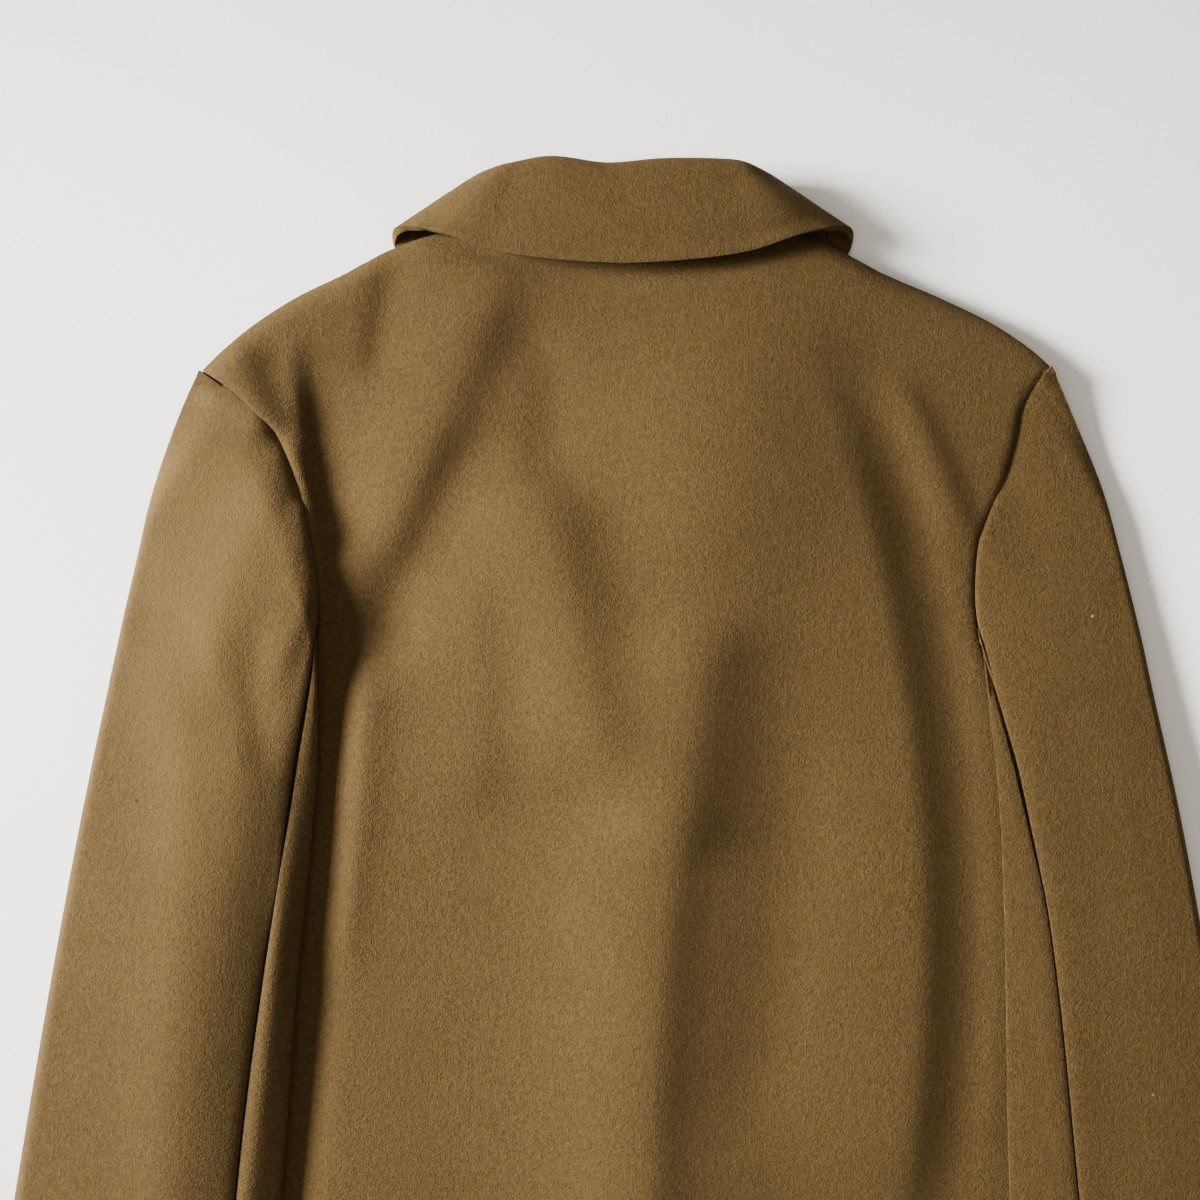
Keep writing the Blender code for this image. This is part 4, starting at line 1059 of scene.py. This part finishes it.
def mouth_point(side, part):
    """Armhole seam: 0 shoulder, 0.5 underarm, 1 shoulder again by the front."""
    shoulder_level = ARMHOLE[side][-1].y
    on_back = part <= 0.5
    along = part / 0.5 if on_back else (1.0 - part) / 0.5
    from_shoulder = smooth_step(along * SHOULDER_Z_PART)
    y = lerp(shoulder_level, UNDERARM_Y, along)
    out = body_edge(side, y)
    if on_back:
        z = back_point(side, out, y, max(0.0, shoulder_y(side, out) - y))[2]
        z += (CLOTH + REST_GAP) * smooth_step((BACK_LIP_Y - y) / BACK_LIP_FADE)
        z += LOW_LIP * smooth_step((along - LOW_LIP_FROM) / LOW_LIP_LENGTH)
        under_back = 1.0 - smooth_step((along - TUCK_UNTIL) / TUCK_FADE)
        z -= TUCK_DEEP[side] * under_back
        out -= TUCK_WIDE * under_back + TIP_TUCK * (1.0 - from_shoulder)
    else:
        z = lerp(FRONT_LIP_Z, 0.0, smooth_step(along * FRONT_LIP_PART))
    z = lerp(SHOULDER_MID_Z, z, from_shoulder)
    near_underarm = smooth_step((along - UNDERARM_FROM) / (1.0 - UNDERARM_FROM))
    return (side * (out + GAP + UNDERARM_OUT * near_underarm), y, z)


def sleeve_point(side, turn, part, v):
    """Point of a sleeve: turn round it, part of the armhole it starts at, v to the cuff."""
    mouth = mouth_point(side, part)
    if v < MOUTH_SHARE:
        y = lerp(mouth[1], RING_TOP_Y, v / MOUTH_SHARE)
    else:
        y = lerp(RING_TOP_Y, CUFF_Y, (v - MOUTH_SHARE) / (1.0 - MOUTH_SHARE))
    by_front = part > 0.5
    here = sleeve_ring(side, turn(y), y, by_front)
    start = sleeve_ring(side, turn(mouth[1]), mouth[1], by_front)
    hold = max(0.0, 1.0 - (mouth[1] - y) / MOUTH_REACH) ** MOUTH_FADE
    rise = max(0.0, 1.0 - (mouth[1] - y) / MOUTH_RISE[side]) ** MOUTH_FADE
    x = here[0] + (mouth[0] - start[0]) * hold
    z = here[2] + (mouth[2] - start[2]) * rise
    floor = 0.0
    if part < 0.5 and v > 0.0 and turn(y) > 0.5:
        floor = resting_height(side, side * x, y)
    if by_front and v > 0.0:
        clear = FRONT_CLEAR + FRONT_SPREAD * (FRONT_SEAM - turn(y))
        clear = lerp(GAP, clear, min(1.0, v / MOUTH_SETTLE))
        x = side * max(side * x, body_edge(side, y) + clear)
    return (x, y, max(z, floor))


# %% The sleeves' sheets
SLEEVE_FINE = 3  # columns of the sheet for each of the solid's
UNDER_COLUMNS = 15  # the solid's, in each piece
TOP_COLUMNS = 13
FRONT_PART_COLUMNS = 12
ROWS_MOUTH = 84
ROWS_BELOW = 72
ROWS_IN_SOLID = 9.0
PRESS = {-1: 1.0, 1: 0.5}
SLEEVE_EDGE = 0.3
Cut = namedtuple("Cut", "flat area")


def sleeve_columns(side):
    """Columns round the sleeve from the front seam: (turn at height y, armhole part)."""
    shoulder_level = ARMHOLE[side][-1].y
    seam_part = 0.5 * (shoulder_level - BACK_SEAM_START) / (shoulder_level - UNDERARM_Y)

    def column(first, last, part):
        return lambda y: lerp(first(y), last(y), part)

    def at_front(y):
        return FRONT_SEAM

    def at_back(y):
        return seam_turn(side, y)

    def past_fold(y):
        return 1.0 + seam_turn(side, y)

    def at_outer(y):
        return 0.5

    stretches = ((at_front, past_fold, 0.5, seam_part, UNDER_COLUMNS),
                 (at_back, at_outer, seam_part, 0.0, TOP_COLUMNS),
                 (at_outer, at_front, 1.0, 0.5, FRONT_PART_COLUMNS))
    made = []
    seams = []
    for first, last, part_a, part_b, solid_columns in stretches:
        seams.append(len(made))
        count = solid_columns * SLEEVE_FINE
        for i in range(count):
            made.append((column(first, last, i / count), lerp(part_a, part_b, i / count)))
    return made, seams[1]


def trim_sides(grid, levels):
    """Draw both long edges in by half a seam's gap, and a little more by the armhole."""
    for v, row in zip(levels, grid):
        by_armhole = smooth_step((TRIM_ROWS - v / MOUTH_SHARE * ROWS_IN_SOLID) / TRIM_FADE_ROWS)
        wanted = GAP / 2 + OUTER_TRIM * lerp(TRIM_FAR, 1.0, by_armhole)
        for edge, beside in ((0, 1), (-1, -2)):
            inward = row[beside] - row[edge]
            length = np.linalg.norm(inward)
            trim = min(wanted, TRIM_MOST * length)
            row[edge] = row[edge] + inward / max(length, 1e-9) * trim


def make_sleeve(side, word):
    """The sleeve's tube, cut in two at its seams."""
    columns, back_seam = sleeve_columns(side)
    levels = [MOUTH_SHARE * j / ROWS_MOUTH for j in range(ROWS_MOUTH)]
    levels += [lerp(MOUTH_SHARE, 1.0, j / ROWS_BELOW) for j in range(ROWS_BELOW + 1)]
    tube = [[sleeve_point(side, turn, part, v) for turn, part in columns] for v in levels]
    tube = np.array(tube, float)
    fullness = []
    for v in levels:
        rows_down = v / MOUTH_SHARE * ROWS_IN_SOLID
        fullness.append(lerp(MOUTH_THIN, 1.0, smooth_step(rows_down / MOUTH_THIN_ROWS)))
    cuts = (("under_sleeve_" + word, 0, back_seam),
            ("top_sleeve_" + word, back_seam, len(columns)))
    for name, first, last in cuts:
        outer = np.array([[row[i % len(columns)] for i in range(first, last + 1)] for row in tube])
        trim_sides(outer, levels)
        outer = press_edges(outer, ("left", "right", "bottom"), PRESS[side], PRESS_REACH, sign=-side)
        outer[:, :, 2] = np.maximum(outer[:, :, 2], 0.0)
        piece = lay_cloth(name + "_cloth", outer, CLOTH, MELTON, flip=side > 0, fullness=fullness,
                          edge_round=SLEEVE_EDGE)
        stands_for(piece, name)


make_sleeve(-1, "left")
make_sleeve(1, "right")

# %% [markdown]
# ## The table and the light
#
# The table is a smooth white board. One large lamp stands low on the left, as a window would, and makes
# every fold read. The pale world round it fills the shadows a little, so they stay brown, not black.

# %% Table and lamps
BOARD_WIDE = 12.0
BOARD_LOW = 0.0002
BOARD_SPOTS_MM = 160.0
BOARD_DEEP = (0.78, 0.78, 0.765, 1.0)
BOARD_PALE = (0.81, 0.81, 0.80, 1.0)
bpy.ops.object.select_all(action="DESELECT")
bpy.ops.mesh.primitive_plane_add(size=BOARD_WIDE, location=(0.0, 0.0, 0.0))
bpy.ops.object.mode_set(mode="EDIT")
bpy.ops.mesh.select_all(action="SELECT")
bpy.ops.transform.translate(value=(0.0, 0.0, -BOARD_LOW))
bpy.ops.object.mode_set(mode="OBJECT")
floor = bpy.context.object
floor.name = "floor"
board, web, shader = new_material("white_board")
place = web.add("ShaderNodeTexCoord", output=3)
faint = clouds(web, place, BOARD_SPOTS_MM, detail=2.0)
tone = faint.tinted(BOARD_DEEP, BOARD_PALE)
web.tree.links.new(tone.socket, shader.inputs["Base Color"])
shader.inputs["Roughness"].default_value = 0.5
shader.inputs["Specular IOR Level"].default_value = 0.3
floor.data.materials.append(board)


def add_lamp(name, at, toward, size, watts, colour):
    """A square area lamp at a place, turned toward another."""
    bpy.ops.object.light_add(type="AREA", location=at)
    lamp = bpy.context.object
    lamp.name = name
    lamp.data.shape = "SQUARE"
    lamp.data.size = size
    lamp.data.energy = watts
    lamp.data.color = colour
    away = lamp.location - type(lamp.location)(toward)
    lamp.rotation_mode = "QUATERNION"
    lamp.rotation_quaternion = away.to_track_quat("Z", "Y")
    return lamp


WINDOW_AT = (-2.455, 0.63, 0.98)
WINDOW_COLOUR = (1.0, 0.985, 0.955)
WINDOW_SPREAD = 38
CEILING_COLOUR = (1.0, 0.96, 0.90)
ROOM_COLOUR = (1.0, 0.90, 0.74, 1.0)
ROOM_STRENGTH = 0.50
window = add_lamp("window", WINDOW_AT, (0.0, 0.15, 0.0), size=0.9, watts=40.0, colour=WINDOW_COLOUR)
window.data.spread = math.radians(WINDOW_SPREAD)
add_lamp("ceiling", (-0.4, 0.3, 2.6), (0.0, 0.2, 0.0), size=2.0, watts=16.0, colour=CEILING_COLOUR)
world = bpy.data.worlds.new("pale_room")
bpy.context.scene.world = world
world.use_nodes = True
sky = world.node_tree.nodes["Background"]
sky.inputs["Color"].default_value = ROOM_COLOUR
sky.inputs["Strength"].default_value = ROOM_STRENGTH
